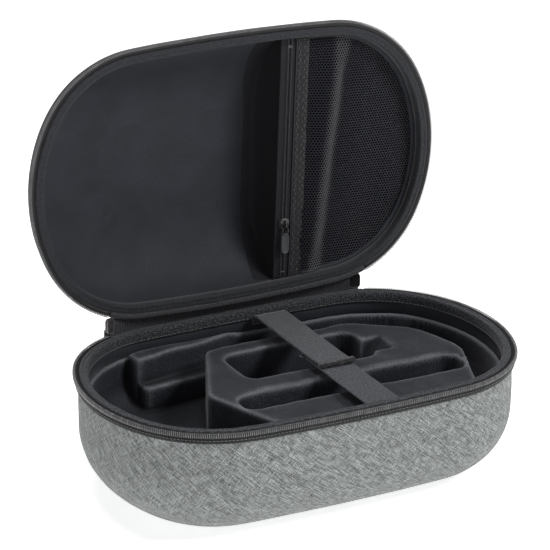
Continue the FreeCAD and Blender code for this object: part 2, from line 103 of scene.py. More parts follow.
# ---- hinge ----
HINGE_Y = 95.2
HINGE_Z = 94.6
HINGE_END_X = 100.0
OPEN = math.radians(92.0)
STRIP_FACES = ((2.45, 1), (3.45, -1))     # the tape's outer and inner face: inward, way out
STRIP_RIB = 1.6
STRIP_STEP = 0.42
STRIP_LOW = 73
STRIP_HIGH = 106
STRIP_BENT = 104.7        # height from which the tape lies wholly along the lid
STRIP_TUCK = 1.6          # how much deeper its top edge lies under the lid's cloth
SHORT_LEFT = 5.2          # what its lower part leaves free for the slider at either end
SHORT_RIGHT = 12.5

# ---- insert ----
TRAY_VOXEL = 1.25
TRAY_SOFTENING = 9
SLOT_END = (112, -28)
# Spread and strength of the insert's painted edge highlight and hollow shade.
EDGE_LIGHT_SPREAD = 4
EDGE_LIGHT_GAIN = 2.8

# ---- strap ----
STRAP_X = 22.0
STRAP_WIDTH = 25.0
STRAP_END_Y = -12.0
LOOP_MID_Z = 81.4
ELASTIC_MID_Z = 79.4
STRAP_EDGE = 0.8
ELASTIC_RIB = 2.08
FOLD_Y = -15.4
BRISTLES = 420

# ---- pocket in the lid ----
POCKET_Z = 92.8
ZIP_X = 40.5
ZIP_SLANT = math.radians(3.0)
HEM_OUT = 15.1
SLIDER_V = 48.0
BEAD_RADIUS = 0.34

CREASE_X = 72.0
CREASE_SLOPE = 0.149      # the mesh's crease leans this far to the left for each mm of height
CREASE_FOOT_X = 45.96     # with the lid open, where the crease's line meets the ground
# Width over which the mesh's painted crease highlight rises and falls.
CREASE_BAND = 50
MESH_PITCH = 2.1
MESH_LEVELS = [(0.577, -0.1), (0.545, -0.16), (0.50, 0.05), (0.485, 0.4)]     # radius in pitches, depth

# ---- main sliders ----
SLIDER_TURN = math.radians(4.0)
SLIDER_OFF = 0.4
SLIDER_MID_Z = 89.5
BAIL_PATH = [(0, -0.8, 2.9), (0, -0.7, 4.9), (0, 0.0, 5.7), (0, 2.6, 5.7), (0, 3.5, 4.9), (0, 3.6, 2.9)]
CORD_OUT = 4.3

# ---- studio, in metres; each light has its place, size and power ----
LIGHTS = {
    "key": ((1.1, -1.2, 1.6), 0.7, 30),
    "fill": ((-1.7, -1.3, 0.9), 1.2, 9),
    "top": ((-0.2, 0.4, 1.9), 0.8, 16),
}
LIGHT_AIM = (0, 0, 0.1)
SKY_STRENGTH = 0.12
FLOOR_HALF = 6.0
FLOOR_Z = -0.0004
EYE = (-0.8301, -1.5956, 0.8537)
AIM = (-0.0015, 0.0300, 0.1335)
LENS = 188.9
ROLL = math.radians(0.17)


# ------------------------------------------------------------------ outline

def outline_arcs():
    """Arcs (centre x, centre y, radius, first angle, last angle, start distance)."""
    side = Vector((0, HALF_WIDTH - SIDE_RADIUS))
    end = Vector((HALF_LENGTH - END_RADIUS, 0))
    to_side = SIDE_RADIUS - CORNER_RADIUS
    to_end = END_RADIUS - CORNER_RADIUS
    apart = (end - side).length
    along = (to_side ** 2 - to_end ** 2 + apart ** 2) / (2 * apart)
    across = math.sqrt(to_side ** 2 - along ** 2)
    unit = (end - side).normalized()
    corner = side + unit * along + Vector((unit.y, -unit.x)) * across
    side_turn = math.atan2(corner.y - side.y, corner.x)
    end_turn = math.atan2(corner.y, corner.x - end.x)
    quarter = [
        (0, side.y, SIDE_RADIUS, side_turn, math.pi / 2),
        (corner.x, corner.y, CORNER_RADIUS, end_turn, side_turn),
        (end.x, 0, END_RADIUS, 0, end_turn),
    ]
    upper_left = [(-x, y, r, math.pi - b, math.pi - a) for x, y, r, a, b in quarter]
    lower_left = [(-x, -y, r, math.pi + a, math.pi + b) for x, y, r, a, b in quarter[::-1]]
    lower_right = [(x, -y, r, 2 * math.pi - b, 2 * math.pi - a) for x, y, r, a, b in quarter]
    upper_right = [(x, y, r, 2 * math.pi + a, 2 * math.pi + b) for x, y, r, a, b in quarter[::-1]]
    arcs = []
    start = 0.0
    for x, y, r, a, b in upper_left + lower_left + lower_right + upper_right:
        arcs.append((x, y, r, a, b, start))
        start += r * (b - a)
    return arcs, start, corner


ARCS, RIM_LENGTH, CORNER = outline_arcs()
ZIP_TURN = math.acos((HINGE_END_X - CORNER.x) / CORNER_RADIUS)
ZIP_START = ARCS[1][5] + CORNER_RADIUS * (math.pi - ZIP_TURN - ARCS[1][3])


def rim(s):
    """Points and outward normals at distances along the outline.

    Distance 0 is the middle of the hinge side, and it grows towards -X.
    """
    s = np.mod(np.asarray(s, float), RIM_LENGTH)
    points = np.zeros((len(s), 2))
    normals = np.zeros((len(s), 2))
    for x, y, radius, first, last, start in ARCS:
        here = (s >= start) & (s <= start + radius * (last - first) + 1e-9)
        turn = first + (s[here] - start) / radius
        normals[here] = np.stack([np.cos(turn), np.sin(turn)], 1)
        points[here] = np.array([x, y]) + radius * normals[here]
    return points, normals


def ring(s, profile):
    """Grid of points: a profile of (inward, z) set round the outline at each distance."""
    points, normals = rim(s)
    profile = np.asarray(profile, float)
    flat = points[:, None, :] - normals[:, None, :] * profile[None, :, 0, None]
    heights = np.broadcast_to(profile[None, :, 1, None], flat.shape[:2] + (1,))
    return np.concatenate([flat, heights], 2)


def inward_at(x, y):
    """How far points lie inside the outline."""
    samples, normals = rim(np.linspace(0, RIM_LENGTH, 900, endpoint=False))
    points = np.stack([np.ravel(x), np.ravel(y)], 1)
    gaps = np.linalg.norm(points[:, None, :] - samples[None, :, :], axis=2)
    nearest = gaps.argmin(1)
    inside = -((points - samples[nearest]) * normals[nearest]).sum(1)
    return inside.reshape(np.shape(x))


def opened(points, turn=OPEN):
    """Turn closed-lid points about the hinge, as far as the lid stands open."""
    turned = np.array(points, float)
    y = turned[..., 1] - HINGE_Y
    z = turned[..., 2] - HINGE_Z
    turned[..., 1] = HINGE_Y + y * np.cos(turn) + z * np.sin(turn)
    turned[..., 2] = HINGE_Z - y * np.sin(turn) + z * np.cos(turn)
    return turned


def along_zip(u, v, z):
    """Closed-lid points from places across and along the pocket's zip."""
    u, v, z = np.broadcast_arrays(u, v, z)
    x = ZIP_X + u * math.cos(ZIP_SLANT) - v * math.sin(ZIP_SLANT)
    y = u * math.sin(ZIP_SLANT) + v * math.cos(ZIP_SLANT)
    return np.stack([x, y, z], -1)


def lining_z(x, y):
    """Height of the closed lid's inner face."""
    share = np.clip((DOME_IN - inward_at(x, y)) / (DOME_IN - INSIDE_IN), 0, 1)
    return LID_LOW + LINING_HIGH * np.sqrt(1 - share ** 2)


def waves(x, y, size, seed, count=7):
    """Smooth random ripples between about -1 and 1, the same on every run."""
    draw = np.random.default_rng(seed)
    total = np.zeros(np.broadcast(x, y).shape)
    for _ in range(count):
        turn = draw.uniform(0, 2 * math.pi)
        rate = 2 * math.pi / (size * draw.uniform(0.6, 1.6))
        way = x * math.cos(turn) + y * math.sin(turn)
        total += np.sin(way * rate + draw.uniform(0, 2 * math.pi))
    return total / math.sqrt(count)


def smooth_step(x, low, high):
    t = np.clip((np.asarray(x, float) - low) / (high - low), 0, 1)
    return t * t * (3 - 2 * t)


def bell(x, middle, width):
    return np.exp(-((np.asarray(x, float) - middle) / width) ** 2)


# ------------------------------------------------------------------ meshes

class Shape:
    """Points, faces and thread coordinates of one piece, in millimetres."""

    def __init__(self):
        self.points = []
        self.faces = []
        self.threads = []
        self.count = 0

    def add(self, points, faces, threads):
        self.points.append(np.asarray(points, float).reshape(-1, 3))
        self.faces += [tuple(corner + self.count for corner in face) for face in faces]
        self.threads += list(threads)
        self.count += len(self.points[-1])

    def grid(self, points, u, v, wrap_u=False, wrap_v=False):
        """A grid of quads; u and v hold one thread coordinate more where the grid wraps."""
        rows, columns = points.shape[:2]
        faces = []
        threads = []
        for i in range(rows if wrap_u else rows - 1):
            following = (i + 1) % rows
            for j in range(columns if wrap_v else columns - 1):
                beside = (j + 1) % columns
                faces.append((
                    i * columns + j,
                    following * columns + j,
                    following * columns + beside,
                    i * columns + beside,
                ))
                threads += [(u[i], v[j]), (u[i + 1], v[j]), (u[i + 1], v[j + 1]), (u[i], v[j + 1])]
        self.add(points, faces, threads)

    def bar(self, points, u, v):
        """A closed section carried along a line, with both its ends capped."""
        self.grid(points, u, v, wrap_v=True)
        for row in (points[0], points[-1]):
            self.add(row, [tuple(range(len(row)))], [(0, 0)] * len(row))

    def cap(self, edge, steps):
        """Close a ring of points with smaller and smaller rings round its middle."""
        edge = np.asarray(edge, float)
        middle = edge.mean(0)
        rings = np.stack([middle + (edge - middle) * (1 - k / steps) for k in range(steps)])
        points = np.concatenate([rings.reshape(-1, 3), middle[None]])
        count = len(edge)
        faces = []
        for k in range(steps - 1):
            for i in range(count):
                j = (i + 1) % count
                faces.append((k * count + i, k * count + j, (k + 1) * count + j, (k + 1) * count + i))
        last = (steps - 1) * count
        for i in range(count):
            faces.append((last + i, last + (i + 1) % count, steps * count))
        threads = [tuple(points[corner, :2]) for face in faces for corner in face]
        self.add(points, faces, threads)

    def tube(self, path, radius, sides=6, closed=False):
        """A round wire along a path, with closed ends."""
        path = np.asarray(path, float)
        if closed:
            ways = np.roll(path, -1, 0) - np.roll(path, 1, 0)
        else:
            ways = np.gradient(path, axis=0)
        ways /= np.linalg.norm(ways, axis=1)[:, None]
        aside = np.cross(ways[0], [0.31, 0.52, 0.79])
        rows = []
        for way, point in zip(ways, path):
            aside = aside - way * (aside @ way)
            aside /= np.linalg.norm(aside)
            over = np.cross(way, aside)
            turns = np.arange(sides) * 2 * math.pi / sides
            circle = np.outer(np.cos(turns), aside) + np.outer(np.sin(turns), over)
            rows.append(point + radius * circle)
        steps = np.concatenate([[0], np.cumsum(np.linalg.norm(np.diff(path, axis=0), axis=1)), [0]])
        steps[-1] = steps[-2] + 1
        base = self.count
        self.grid(np.array(rows), steps, np.arange(sides + 1), wrap_u=closed, wrap_v=True)
        if not closed:
            ends = [tuple(range(sides))[::-1], tuple(range((len(path) - 1) * sides, len(path) * sides))]
            for end in ends:
                self.faces.append(tuple(base + corner for corner in end))
                self.threads += [(0, 0)] * sides

    def copies(self, pattern, origins, axes):
        """Repeat a pattern at origins; axes holds the pattern's three directions at each."""
        points = np.concatenate(pattern.points)
        for origin, way in zip(origins, axes):
            self.add(origin + points @ way, pattern.faces, pattern.threads)

    def opened(self):
        self.points = [opened(points) for points in self.points]
        return self

    def build(self, name, material, body, slot, replaces=(), ride=True):
        mesh = bpy.data.meshes.new(name)
        points = np.concatenate(self.points) * MM
        mesh.from_pydata(points.tolist(), [], self.faces)
        layer = mesh.uv_layers.new(name="Threads")
        layer.data.foreach_set("uv", np.asarray(self.threads, np.float32).ravel())
        merge_and_smooth(mesh)
        return placed(name, mesh, material, body, replaces, ride)


def merge_and_smooth(mesh):
    work = bmesh.new()
    work.from_mesh(mesh)
    bmesh.ops.remove_doubles(work, verts=work.verts, dist=1e-6)
    bmesh.ops.recalc_face_normals(work, faces=work.faces)
    work.to_mesh(mesh)
    work.free()
    mesh.shade_smooth()


def placed(name, mesh, material, body, replaces=(), ride=True):
    """Put a finished mesh in the scene, on its body, in place of its CAD nodes."""
    piece = bpy.data.objects.new(name, mesh)
    bpy.context.scene.collection.objects.link(piece)
    mesh.materials.clear()
    mesh.materials.append(material)
    if ride:
        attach(piece, body)
    if replaces:
        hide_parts(*replaces)
    return piece


def block(x0, x1, y0, y1, z0, z1, bevel, place, segments=3):
    """Rounded block whose corners are moved by a placing function."""
    work = bmesh.new()
    bmesh.ops.create_cube(work, size=1)
    low = np.array([x0, y0, z0])
    high = np.array([x1, y1, z1])
    for vertex in work.verts:
        vertex.co = Vector((low + high) / 2 + np.array(vertex.co) * (high - low))
    bmesh.ops.bevel(work, geom=work.edges[:] + work.verts[:], offset=bevel, segments=segments,
                    profile=0.5, affect="EDGES")
    work.verts.index_update()
    points = place(np.array([vertex.co for vertex in work.verts]))
    faces = [tuple(vertex.index for vertex in face.verts) for face in work.faces]
    work.free()
    return points, faces, [(0, 0)] * sum(len(face) for face in faces)


def tab(width, length, thick, round_by, place):
    """Moulded pull tab: a rounded plate with a raised edge round a sunk panel, along +Y."""
    shape = Shape()
    turns = np.linspace(0, 2 * math.pi, 41)[:-1]

    def outline(inset, z):
        half = width / 2 - inset
        reach = length / 2 - inset
        curve = max(round_by - inset, 0.3)
        x = np.sign(np.cos(turns)) * (half - curve) + curve * np.cos(turns)
        y = np.sign(np.sin(turns)) * (reach - curve) + curve * np.sin(turns)
        return np.stack([x, y + length / 2, np.full(len(turns), z)], 1)

    half = thick / 2
    levels = [(0.35, -half), (0.05, -half * 0.6), (0, 0), (0.05, half * 0.6), (0.35, half),
              (0.9, half), (1.2, half * 0.55), (1.6, half * 0.5)]
    points = np.stack([outline(inset, z) for inset, z in levels], 1)
    shape.grid(points, np.arange(len(turns) + 1), np.arange(len(levels)), wrap_u=True)
    shape.cap(outline(1.6, half * 0.5), 3)
    shape.cap(outline(0.35, -half), 3)
    shape.points = [place(points) for points in shape.points]
    return shape


# ------------------------------------------------------------------ materials

class Graph:
    """A material's nodes, built one value at a time."""

    def __init__(self, name, roughness=0.8, sheen=0.0, metallic=0.0, specular=0.5, coat=0.0):
        self.material = bpy.data.materials.new(name)
        self.material.use_nodes = True
        self.nodes = self.material.node_tree.nodes
        self.links = self.material.node_tree.links
        self.shader = self.nodes["Principled BSDF"]
        self.shader.inputs["Roughness"].default_value = roughness
        self.shader.inputs["Metallic"].default_value = metallic
        self.shader.inputs["Specular IOR Level"].default_value = specular
        self.shader.inputs["Sheen Weight"].default_value = sheen
        self.shader.inputs["Sheen Roughness"].default_value = 0.45
        self.shader.inputs["Coat Weight"].default_value = coat

    def put(self, socket, value):
        if isinstance(value, bpy.types.NodeSocket):
            self.links.new(value, socket)
        else:
            socket.default_value = value

    def math(self, what, a, b=0.0):
        node = self.nodes.new("ShaderNodeMath")
        node.operation = what
        self.put(node.inputs[0], a)
        self.put(node.inputs[1], b)
        return node.outputs[0]

    def threads(self):
        """The piece's thread coordinates, in millimetres."""
        node = self.nodes.new("ShaderNodeUVMap")
        node.uv_map = "Threads"
        split = self.nodes.new("ShaderNodeSeparateXYZ")
        self.links.new(node.outputs["UV"], split.inputs[0])
        return split.outputs["X"], split.outputs["Y"]

    def turned(self, x, y, angle):
        """Thread coordinates of cloth cut on the bias."""
        return (self.blend((x, math.cos(angle)), (y, math.sin(angle))),
                self.blend((x, -math.sin(angle)), (y, math.cos(angle))))

    def place(self):
        """The point's place on the piece, in millimetres."""
        node = self.nodes.new("ShaderNodeTexCoord")
        split = self.nodes.new("ShaderNodeSeparateXYZ")
        self.links.new(node.outputs["Object"], split.inputs[0])
        return [self.math("MULTIPLY", split.outputs[axis], 1 / MM) for axis in "XYZ"]

    def cloud(self, x, y, z=0.0, detail=2.0):
        node = self.nodes.new("ShaderNodeTexNoise")
        node.inputs["Scale"].default_value = 1.0
        node.inputs["Detail"].default_value = detail
        join = self.nodes.new("ShaderNodeCombineXYZ")
        for socket, value in zip(join.inputs, (x, y, z)):
            self.put(socket, value)
        self.links.new(join.outputs[0], node.inputs["Vector"])
        return node.outputs[0]

    def mottle(self, axes, scale, detail=2.0):
        """Cloud over coordinates that are all scaled alike."""
        return self.cloud(*[self.math("MULTIPLY", axis, scale) for axis in axes], detail=detail)

    def wave(self, x, pitch):
        """1 on the middle of each thread and -1 between two."""
        return self.math("COSINE", self.math("MULTIPLY", x, 2 * math.pi / pitch))

    def cells(self, place, pitch):
        """Knit cells crossing a solid shape on the slant, whichever way its faces lie."""
        x, y, z = place
        rising = self.wave(self.math("ADD", x, z), pitch)
        falling = self.wave(self.math("SUBTRACT", y, z), pitch)
        return self.math("MULTIPLY", rising, falling)

    def ramp(self, value, stops):
        node = self.nodes.new("ShaderNodeValToRGB")
        points = node.color_ramp.elements
        while len(points) < len(stops):
            points.new(0.5)
        for point, (place, colour) in zip(points, stops):
            point.position = place
            point.color = (*colour, 1)
        self.put(node.inputs[0], value)
        return node.outputs[0]

    def finished(self, tone, stops, relief, strength, distance):
        """Colour the surface by a tone, raise it by (value, share) pairs and give the material."""
        self.put(self.shader.inputs["Base Color"], self.ramp(tone, stops))
        node = self.nodes.new("ShaderNodeBump")
        node.inputs["Strength"].default_value = strength
        node.inputs["Distance"].default_value = distance * MM
        self.put(node.inputs["Height"], self.blend(*relief))
        self.links.new(node.outputs[0], self.shader.inputs["Normal"])
        return self.material

    def blend(self, *terms):
        """Sum of (value, share) pairs."""
        total = 0.0
        for value, share in terms:
            total = self.math("ADD", self.math("MULTIPLY", value, share), total)
        return total


def scaled(colour, by):
    return tuple(channel * by for channel in colour)


def shades(colour, *stops):
    """Ramp stops of one colour, from (place, brightness) pairs."""
    return [(place, scaled(colour, by)) for place, by in stops]


def heather():
    """Two-tone woven cover: light and dark slubs along both thread ways."""
    g = Graph("grey_heather_cloth", roughness=0.85, sheen=0.12, specular=0.3)
    x, y = g.turned(*g.threads(), math.radians(40))
    upright = g.cloud(g.math("MULTIPLY", x, 2.3), g.math("MULTIPLY", y, 0.17), 3.1, 0.5)
    level = g.cloud(g.math("MULTIPLY", x, 0.15), g.math("MULTIPLY", y, 2.3), 9.7, 0.5)
    patchy = g.cloud(g.math("MULTIPLY", x, 0.05), g.math("MULTIPLY", y, 0.05), 5.0)
    weave = g.math("MULTIPLY", g.wave(x, 1.0), g.wave(y, 1.0))
    fine = g.cloud(g.math("MULTIPLY", x, 1.7), g.math("MULTIPLY", y, 1.5), 6.0)
    tone = g.blend((upright, 0.75), (level, 0.85), (fine, 1.5), (patchy, 0.1), (weave, 0.1))
    tone = g.math("SUBTRACT", tone, 1.1)
    grey = (0.212, 0.224, 0.222)
    return g.finished(tone, shades(grey, (0.27, 0.3), (0.42, 0.77), (0.58, 1.1), (0.77, 2.0)),
                      [(weave, 0.5), (upright, 0.6), (level, 0.6)], 0.5, 0.25)


def knit(name, colour, pitch, contrast, sheen, flat=True, roughness=0.72, specular=0.35):
    """Fine dark knit, flat or all through a solid: small cells, faint mottling and a soft sheen."""
    g = Graph(name, roughness=roughness, sheen=sheen, specular=specular)
    if flat:
        x, y = g.threads()
        place = (x, y, 0.0)
        cells = g.math("MULTIPLY", g.wave(x, pitch), g.wave(y, pitch * 0.8))
    else:
        place = g.place()
        cells = g.cells(place, pitch)
    mottle = g.mottle(place, 0.9)
    broad = g.mottle(place, 0.04)
    tone = g.blend((cells, 0.10 * contrast), (mottle, 0.5 * contrast), (broad, 0.5))
    tone = g.math("SUBTRACT", tone, 0.25 * contrast - 0.25)
    return g.finished(tone, shades(colour, (0.2, 0.6), (0.5, 1.0), (0.8, 1.7)),
                      [(cells, 0.6), (mottle, 0.5)], 0.4, 0.12)


def air_mesh():
    """Mesh yarn, with a painted highlight along the pocket's crease, where the fold catches the light."""
    g = Graph("air_mesh_yarn", roughness=0.5, sheen=0.12, specular=0.35)
    x, y, z = g.place()
    across = g.blend((x, 1 / CREASE_BAND), (z, -CREASE_SLOPE / CREASE_BAND))
    across = g.math("SUBTRACT", across, CREASE_FOOT_X / CREASE_BAND - 0.5)
    # Painted highlight: a lighter band across the crease's line, placed by position on the mesh.
    crease_highlight_stops = ((0.0, 0.1), (0.34, 0.12), (0.44, 0.72), (0.58, 0.68), (0.68, 0.2), (1.0, 0.3))
    painted_crease_highlight = g.ramp(across, [(place, (share, share, share)) for place, share in crease_highlight_stops])
    yarn = g.mottle((x, y, z), 0.9)
    tone = g.math("SUBTRACT", g.blend((painted_crease_highlight, 0.75), (yarn, 0.6)), 0.2)
    stops = [(0.0, (0.005, 0.0055, 0.009)), (0.3, (0.038, 0.039, 0.049)), (0.8, (0.20, 0.20, 0.21))]
    return g.finished(tone, stops, [(yarn, 1.0)], 0.4, 0.1)


def wall_knit():
    """The pocket's side wall: the lining's knit, with painted shade that deepens towards the zip."""
    g = Graph("pocket_wall_knit", roughness=0.8, sheen=0.06, specular=0.25)
    x, y = g.threads()
    cells = g.math("MULTIPLY", g.wave(x, 1.1), g.wave(y, 0.9))
    mottle = g.mottle((x, y), 0.9)
    # Painted shade: the tone grows with distance from the zip, so the wall is darkest at the zip.
    tone = g.blend((y, 1 / 56), (cells, 0.01), (mottle, 0.1))
    stops = [(0.08, (0.0025, 0.0025, 0.004)), (0.5, (0.006, 0.006, 0.008)),
             (0.78, (0.014, 0.0145, 0.018)), (1.0, (0.022, 0.0225, 0.027))]
    return g.finished(tone, stops, [(cells, 0.6), (mottle, 0.5)], 0.3, 0.12)


def tray_knit():
    """The insert's knit, with painted highlight on its outward edges and painted shade in its hollows."""
    g = Graph("insert_knit", roughness=0.7, sheen=0.14, specular=0.35)
    edge, _ = g.threads()
    place = g.place()
    cells = g.cells(place, 1.3)
    mottle = g.mottle(place, 0.9)
    broad = g.mottle(place, 0.04)
    # Painted highlight and shade: the stored bend lightens outward edges and darkens hollows.
    tone = g.blend((cells, 0.18), (mottle, 0.8), (broad, 0.3), (edge, 1.0))
    tone = g.math("ADD", tone, -0.28)
    stops = [(0.0, (0.003, 0.0035, 0.0065)), (0.22, (0.009, 0.0105, 0.0165)),
             (0.42, (0.028, 0.030, 0.038)), (0.9, (0.13, 0.135, 0.148))]
    return g.finished(tone, stops, [(cells, 0.6), (mottle, 0.5)], 0.4, 0.12)


def ribbed(name, colour, rib, cross, contrast, roughness=0.75, sheen=0.2):
    """Woven tape: ribs across it, finer threads along it, light flecks where yarns rise."""
    g = Graph(name, roughness=roughness, sheen=sheen, specular=0.35)
    x, y = g.threads()
    ribs = g.wave(x, rib)
    fine = g.wave(y, cross)
    fleck = g.cloud(g.math("MULTIPLY", x, 0.55), g.math("MULTIPLY", y, 0.9), 2.0, 3.0)
    tone = g.blend((ribs, 0.10), (fine, 0.06), (fleck, contrast))
    tone = g.math("SUBTRACT", tone, 0.5 * contrast - 0.5)
    return g.finished(tone, shades(colour, (0.2, 0.3), (0.5, 1.0), (0.85, 2.8)),
                      [(ribs, 0.5), (fine, 0.3), (fleck, 0.5)], 0.6, 0.2)


def pile(name, colour, grain):
    """Brushed hook-and-loop face: matted short fibres."""
    g = Graph(name, roughness=0.9, sheen=0.45, specular=0.2)
    x, y = g.threads()
    tufts = g.cloud(g.math("MULTIPLY", x, grain), g.math("MULTIPLY", y, grain * 0.7), 1.0, 4.0)
    rows = g.wave(y, 1.9)
    mat = g.cloud(g.math("MULTIPLY", x, 0.15), g.math("MULTIPLY", y, 0.1), 4.0)
    tone = g.blend((tufts, 1.7), (mat, 0.3), (rows, 0.02))
    tone = g.math("SUBTRACT", tone, 0.5)
    return g.finished(tone, shades(colour, (0.3, 0.3), (0.5, 1.0), (0.7, 2.6)),
                      [(tufts, 1.0), (rows, 0.15)], 0.9, 0.5)


def moulded(name, colour, roughness, grain=1.5, metallic=0.0, coat=0.0):
    """Moulded or lacquered surface: fine grain and slightly uneven gloss."""
    g = Graph(name, roughness=roughness, metallic=metallic, coat=coat)
    place = g.place()
    speck = g.mottle(place, grain, detail=3.0)
    worn = g.mottle(place, 0.25)
    g.put(g.shader.inputs["Roughness"], g.math("ADD", g.math("MULTIPLY", worn, 0.2), roughness - 0.1))
    return g.finished(worn, shades(colour, (0.35, 0.85), (0.65, 1.2)), [(speck, 1.0)], 0.15, 0.05)


def studio_white(name, colour, glow):
    """Pale studio floor that glows a little, so that it reads as white."""
    g = Graph(name, roughness=0.9, specular=0.1)
    x, y, _ = g.place()
    soft = g.mottle((x, y), 0.002)
    g.put(g.shader.inputs["Base Color"], g.ramp(soft, shades(colour, (0.3, 0.99), (0.7, 1.0))))
    g.shader.inputs["Emission Color"].default_value = (1, 1, 1, 1)
    g.shader.inputs["Emission Strength"].default_value = glow
    return g.material


HEATHER = heather()
LINING = knit("lining_knit", (0.0205, 0.0220, 0.0290), 1.1, 1.6, 0.10)
TRAY_KNIT = tray_knit()
BINDING = ribbed("binding_twill", (0.025, 0.0265, 0.031), 1.4, 0.9, 3.2)
LID_BINDING = ribbed("lid_binding_twill", (0.015, 0.016, 0.020), 1.4, 0.9, 1.3)
TAPE = ribbed("zip_tape_weave", (0.007, 0.0074, 0.0090), 1.1, 1.4, 2.2, sheen=0.08)
GUSSET = ribbed("hinge_tape_ribs", (0.036, 0.037, 0.041), 1.6, 1.0, 0.8)
ELASTIC = ribbed("elastic_ribs", (0.042, 0.045, 0.053), 0.9, 2.1, 1.6)
LOOP_PILE = pile("loop_pile", (0.032, 0.034, 0.040), 0.9)
HOOK_PILE = pile("hook_pile", (0.014, 0.014, 0.016), 1.2)
MESH = air_mesh()
MESH_BACK = knit("air_mesh_back", (0.004, 0.004, 0.007), 0.9, 0.5, 0.0, specular=0.06)
WALL_KNIT = wall_knit()
HEM = ribbed("hem_weave", (0.009, 0.009, 0.0105), 1.6, 1.0, 1.8)
THREAD = ribbed("sewing_thread", (0.14, 0.138, 0.135), 0.5, 0.4, 0.4, roughness=0.5)
HEM_THREAD = ribbed("hem_thread", (0.085, 0.084, 0.088), 0.5, 0.4, 0.4, roughness=0.5)
# Painted highlight: the coil's black nylon is given a light grey so its teeth read as lit; the lid's coil
# is a lighter copy of the same nylon.
COIL = moulded("nylon_coil", (0.16, 0.16, 0.165), 0.26, 2.0, coat=0.5)
LID_COIL_PAINTED_LIGHT = moulded("nylon_coil_lid_painted_light", (0.24, 0.24, 0.25), 0.3, 2.0, coat=0.3)
COIL_CORE = moulded("nylon_core", (0.006, 0.006, 0.007), 0.6, 2.0)
POCKET_TAPE = ribbed("pocket_tape_weave", (0.0055, 0.0055, 0.008), 0.8, 1.2, 0.6, roughness=0.6, sheen=0.02)
BEAD = ribbed("tape_bead", (0.030, 0.031, 0.038), 0.9, 0.9, 0.6, roughness=0.45)
LACQUER = moulded("black_lacquer", (0.020, 0.020, 0.021), 0.28, 1.5, metallic=0.35, coat=0.4)
# Painted light: the left end slider's black lacquer, lightened to grey to stand in for the light that falls
# on it.
LACQUER_PAINTED_LIT = moulded("lacquer_painted_lit", (0.24, 0.225, 0.235), 0.45, 1.5, metallic=0.1, coat=0.1)
PULL = moulded("pull_rubber", (0.050, 0.052, 0.056), 0.6, 2.5)
BLACK_PULL = moulded("black_pull_rubber", (0.020, 0.020, 0.022), 0.55, 2.5)
FOAM = knit("moulded_foam", (0.03, 0.03, 0.032), 2.0, 0.5, 0.0, flat=False)


# ------------------------------------------------------------------ tub and lid walls

def spread_s(step, first=0.0, last=None):
    """Evenly spaced distances along the outline; all round where last isn't given."""
    if last is None:
        count = int(RIM_LENGTH / step)
        return np.linspace(0, RIM_LENGTH, count, endpoint=False), True
    count = int((last - first) / step) + 1
    return np.linspace(first, last, count), False


def lengths(profile):
    """Distance along a profile, with one more value for one that closes on itself."""
    profile = np.asarray(profile, float)
    steps = np.linalg.norm(np.diff(np.vstack([profile, profile[:1]]), axis=0), axis=1)
    return np.concatenate([[0], np.cumsum(steps)])


def swept(shape, profile, step, first=0.0, last=None, ripple=0.0, seed=1, close=True):
    """Sweep a profile round the rim or along a stretch of it, with its ends capped."""
    s, wraps = spread_s(step, first, last)
    points = ring(s, profile)
    if ripple:
        _, normals = rim(s)
        swell = ripple * waves(s[:, None], lengths(profile)[None, :-1] * 2, RIPPLE_SIZE, seed)
        points[..., :2] += normals[:, None, :] * swell[..., None]
    if wraps:
        shape.grid(points, np.append(s, RIM_LENGTH), lengths(profile), wrap_u=True, wrap_v=close)
    else:
        shape.bar(points, s, lengths(profile))
    return points


def dome(inward, height, first_rise):
    """Section of the lid's dome, from a height above its rim up to its crown."""
    reach = DOME_IN - inward
    turns = np.linspace(math.asin(first_rise / height), math.pi / 2, DOME_STEPS)
    return [(DOME_IN - reach * math.cos(t), LID_LOW + height * math.sin(t)) for t in turns]


def tub_cover():
    shape = Shape()
    top = 82.0
    wall = [(COVER_IN, z) for z in np.linspace(top, BOTTOM_FILLET, 13)]
    turns = np.radians(np.linspace(0, 90, 19))[1:]
    fillet = [(FILLET_IN - BOTTOM_FILLET * math.cos(t), BOTTOM_FILLET * (1 - math.sin(t))) for t in turns]
    tucked = [(COVER_IN + COVER_TUCK, top)]
    points = swept(shape, tucked + wall + fillet, RIM_STEP, ripple=COVER_RIPPLE, seed=3, close=False)
    shape.cap(points[:, -1], 7)
    return shape.build("base_cover_cloth", HEATHER, "base", "grey_fabric",
                       ("base_cover", "base_cover_bottom"))


def lid_cover():
    shape = Shape()
    low = 2.6
    tucked = [(COVER_IN + COVER_TUCK, LID_LOW + low)]
    points = swept(shape, tucked + dome(COVER_IN, LID_FULL, low), RIM_STEP, ripple=COVER_RIPPLE, seed=5,
                   close=False)
    shape.cap(points[:, -1], 7)
    return shape.opened().build("lid_cover_cloth", HEATHER, "lid", "grey_fabric", ("lid_cover",))


def lid_lining():
    shape = Shape()
    points = swept(shape, dome(INSIDE_IN, LINING_HIGH, LIP_DROP - 1.5), RIM_STEP, close=False)
    shape.cap(points[:, -1], 9)
    points = np.concatenate(shape.points)
    points[:, 2] -= 0.35 + 0.3 * waves(points[:, 0], points[:, 1], 90, 11)
    shape.points = [points]
    return shape.opened().build("lid_lining_cloth", LINING, "lid", "lining", ("lid_lining",))


def base_lining():
    shape = Shape()
    section = [(INSIDE_IN, 80.0), (INSIDE_IN + 0.15, 74), (INSIDE_IN, 66.0), (8.6, 66.0), (8.6, 80.0)]
    swept(shape, section, RIM_STEP)
    return shape.build("base_lining_cloth", LINING, "base", "lining", ("base_lining",))


# ------------------------------------------------------------------ rim trim

def rim_profile(prefix, section):
    """One rim's section as (inward, height) pairs."""
    rim_z, way = RIMS[prefix]
    return [(inward, rim_z + way * drop) for inward, drop in section]


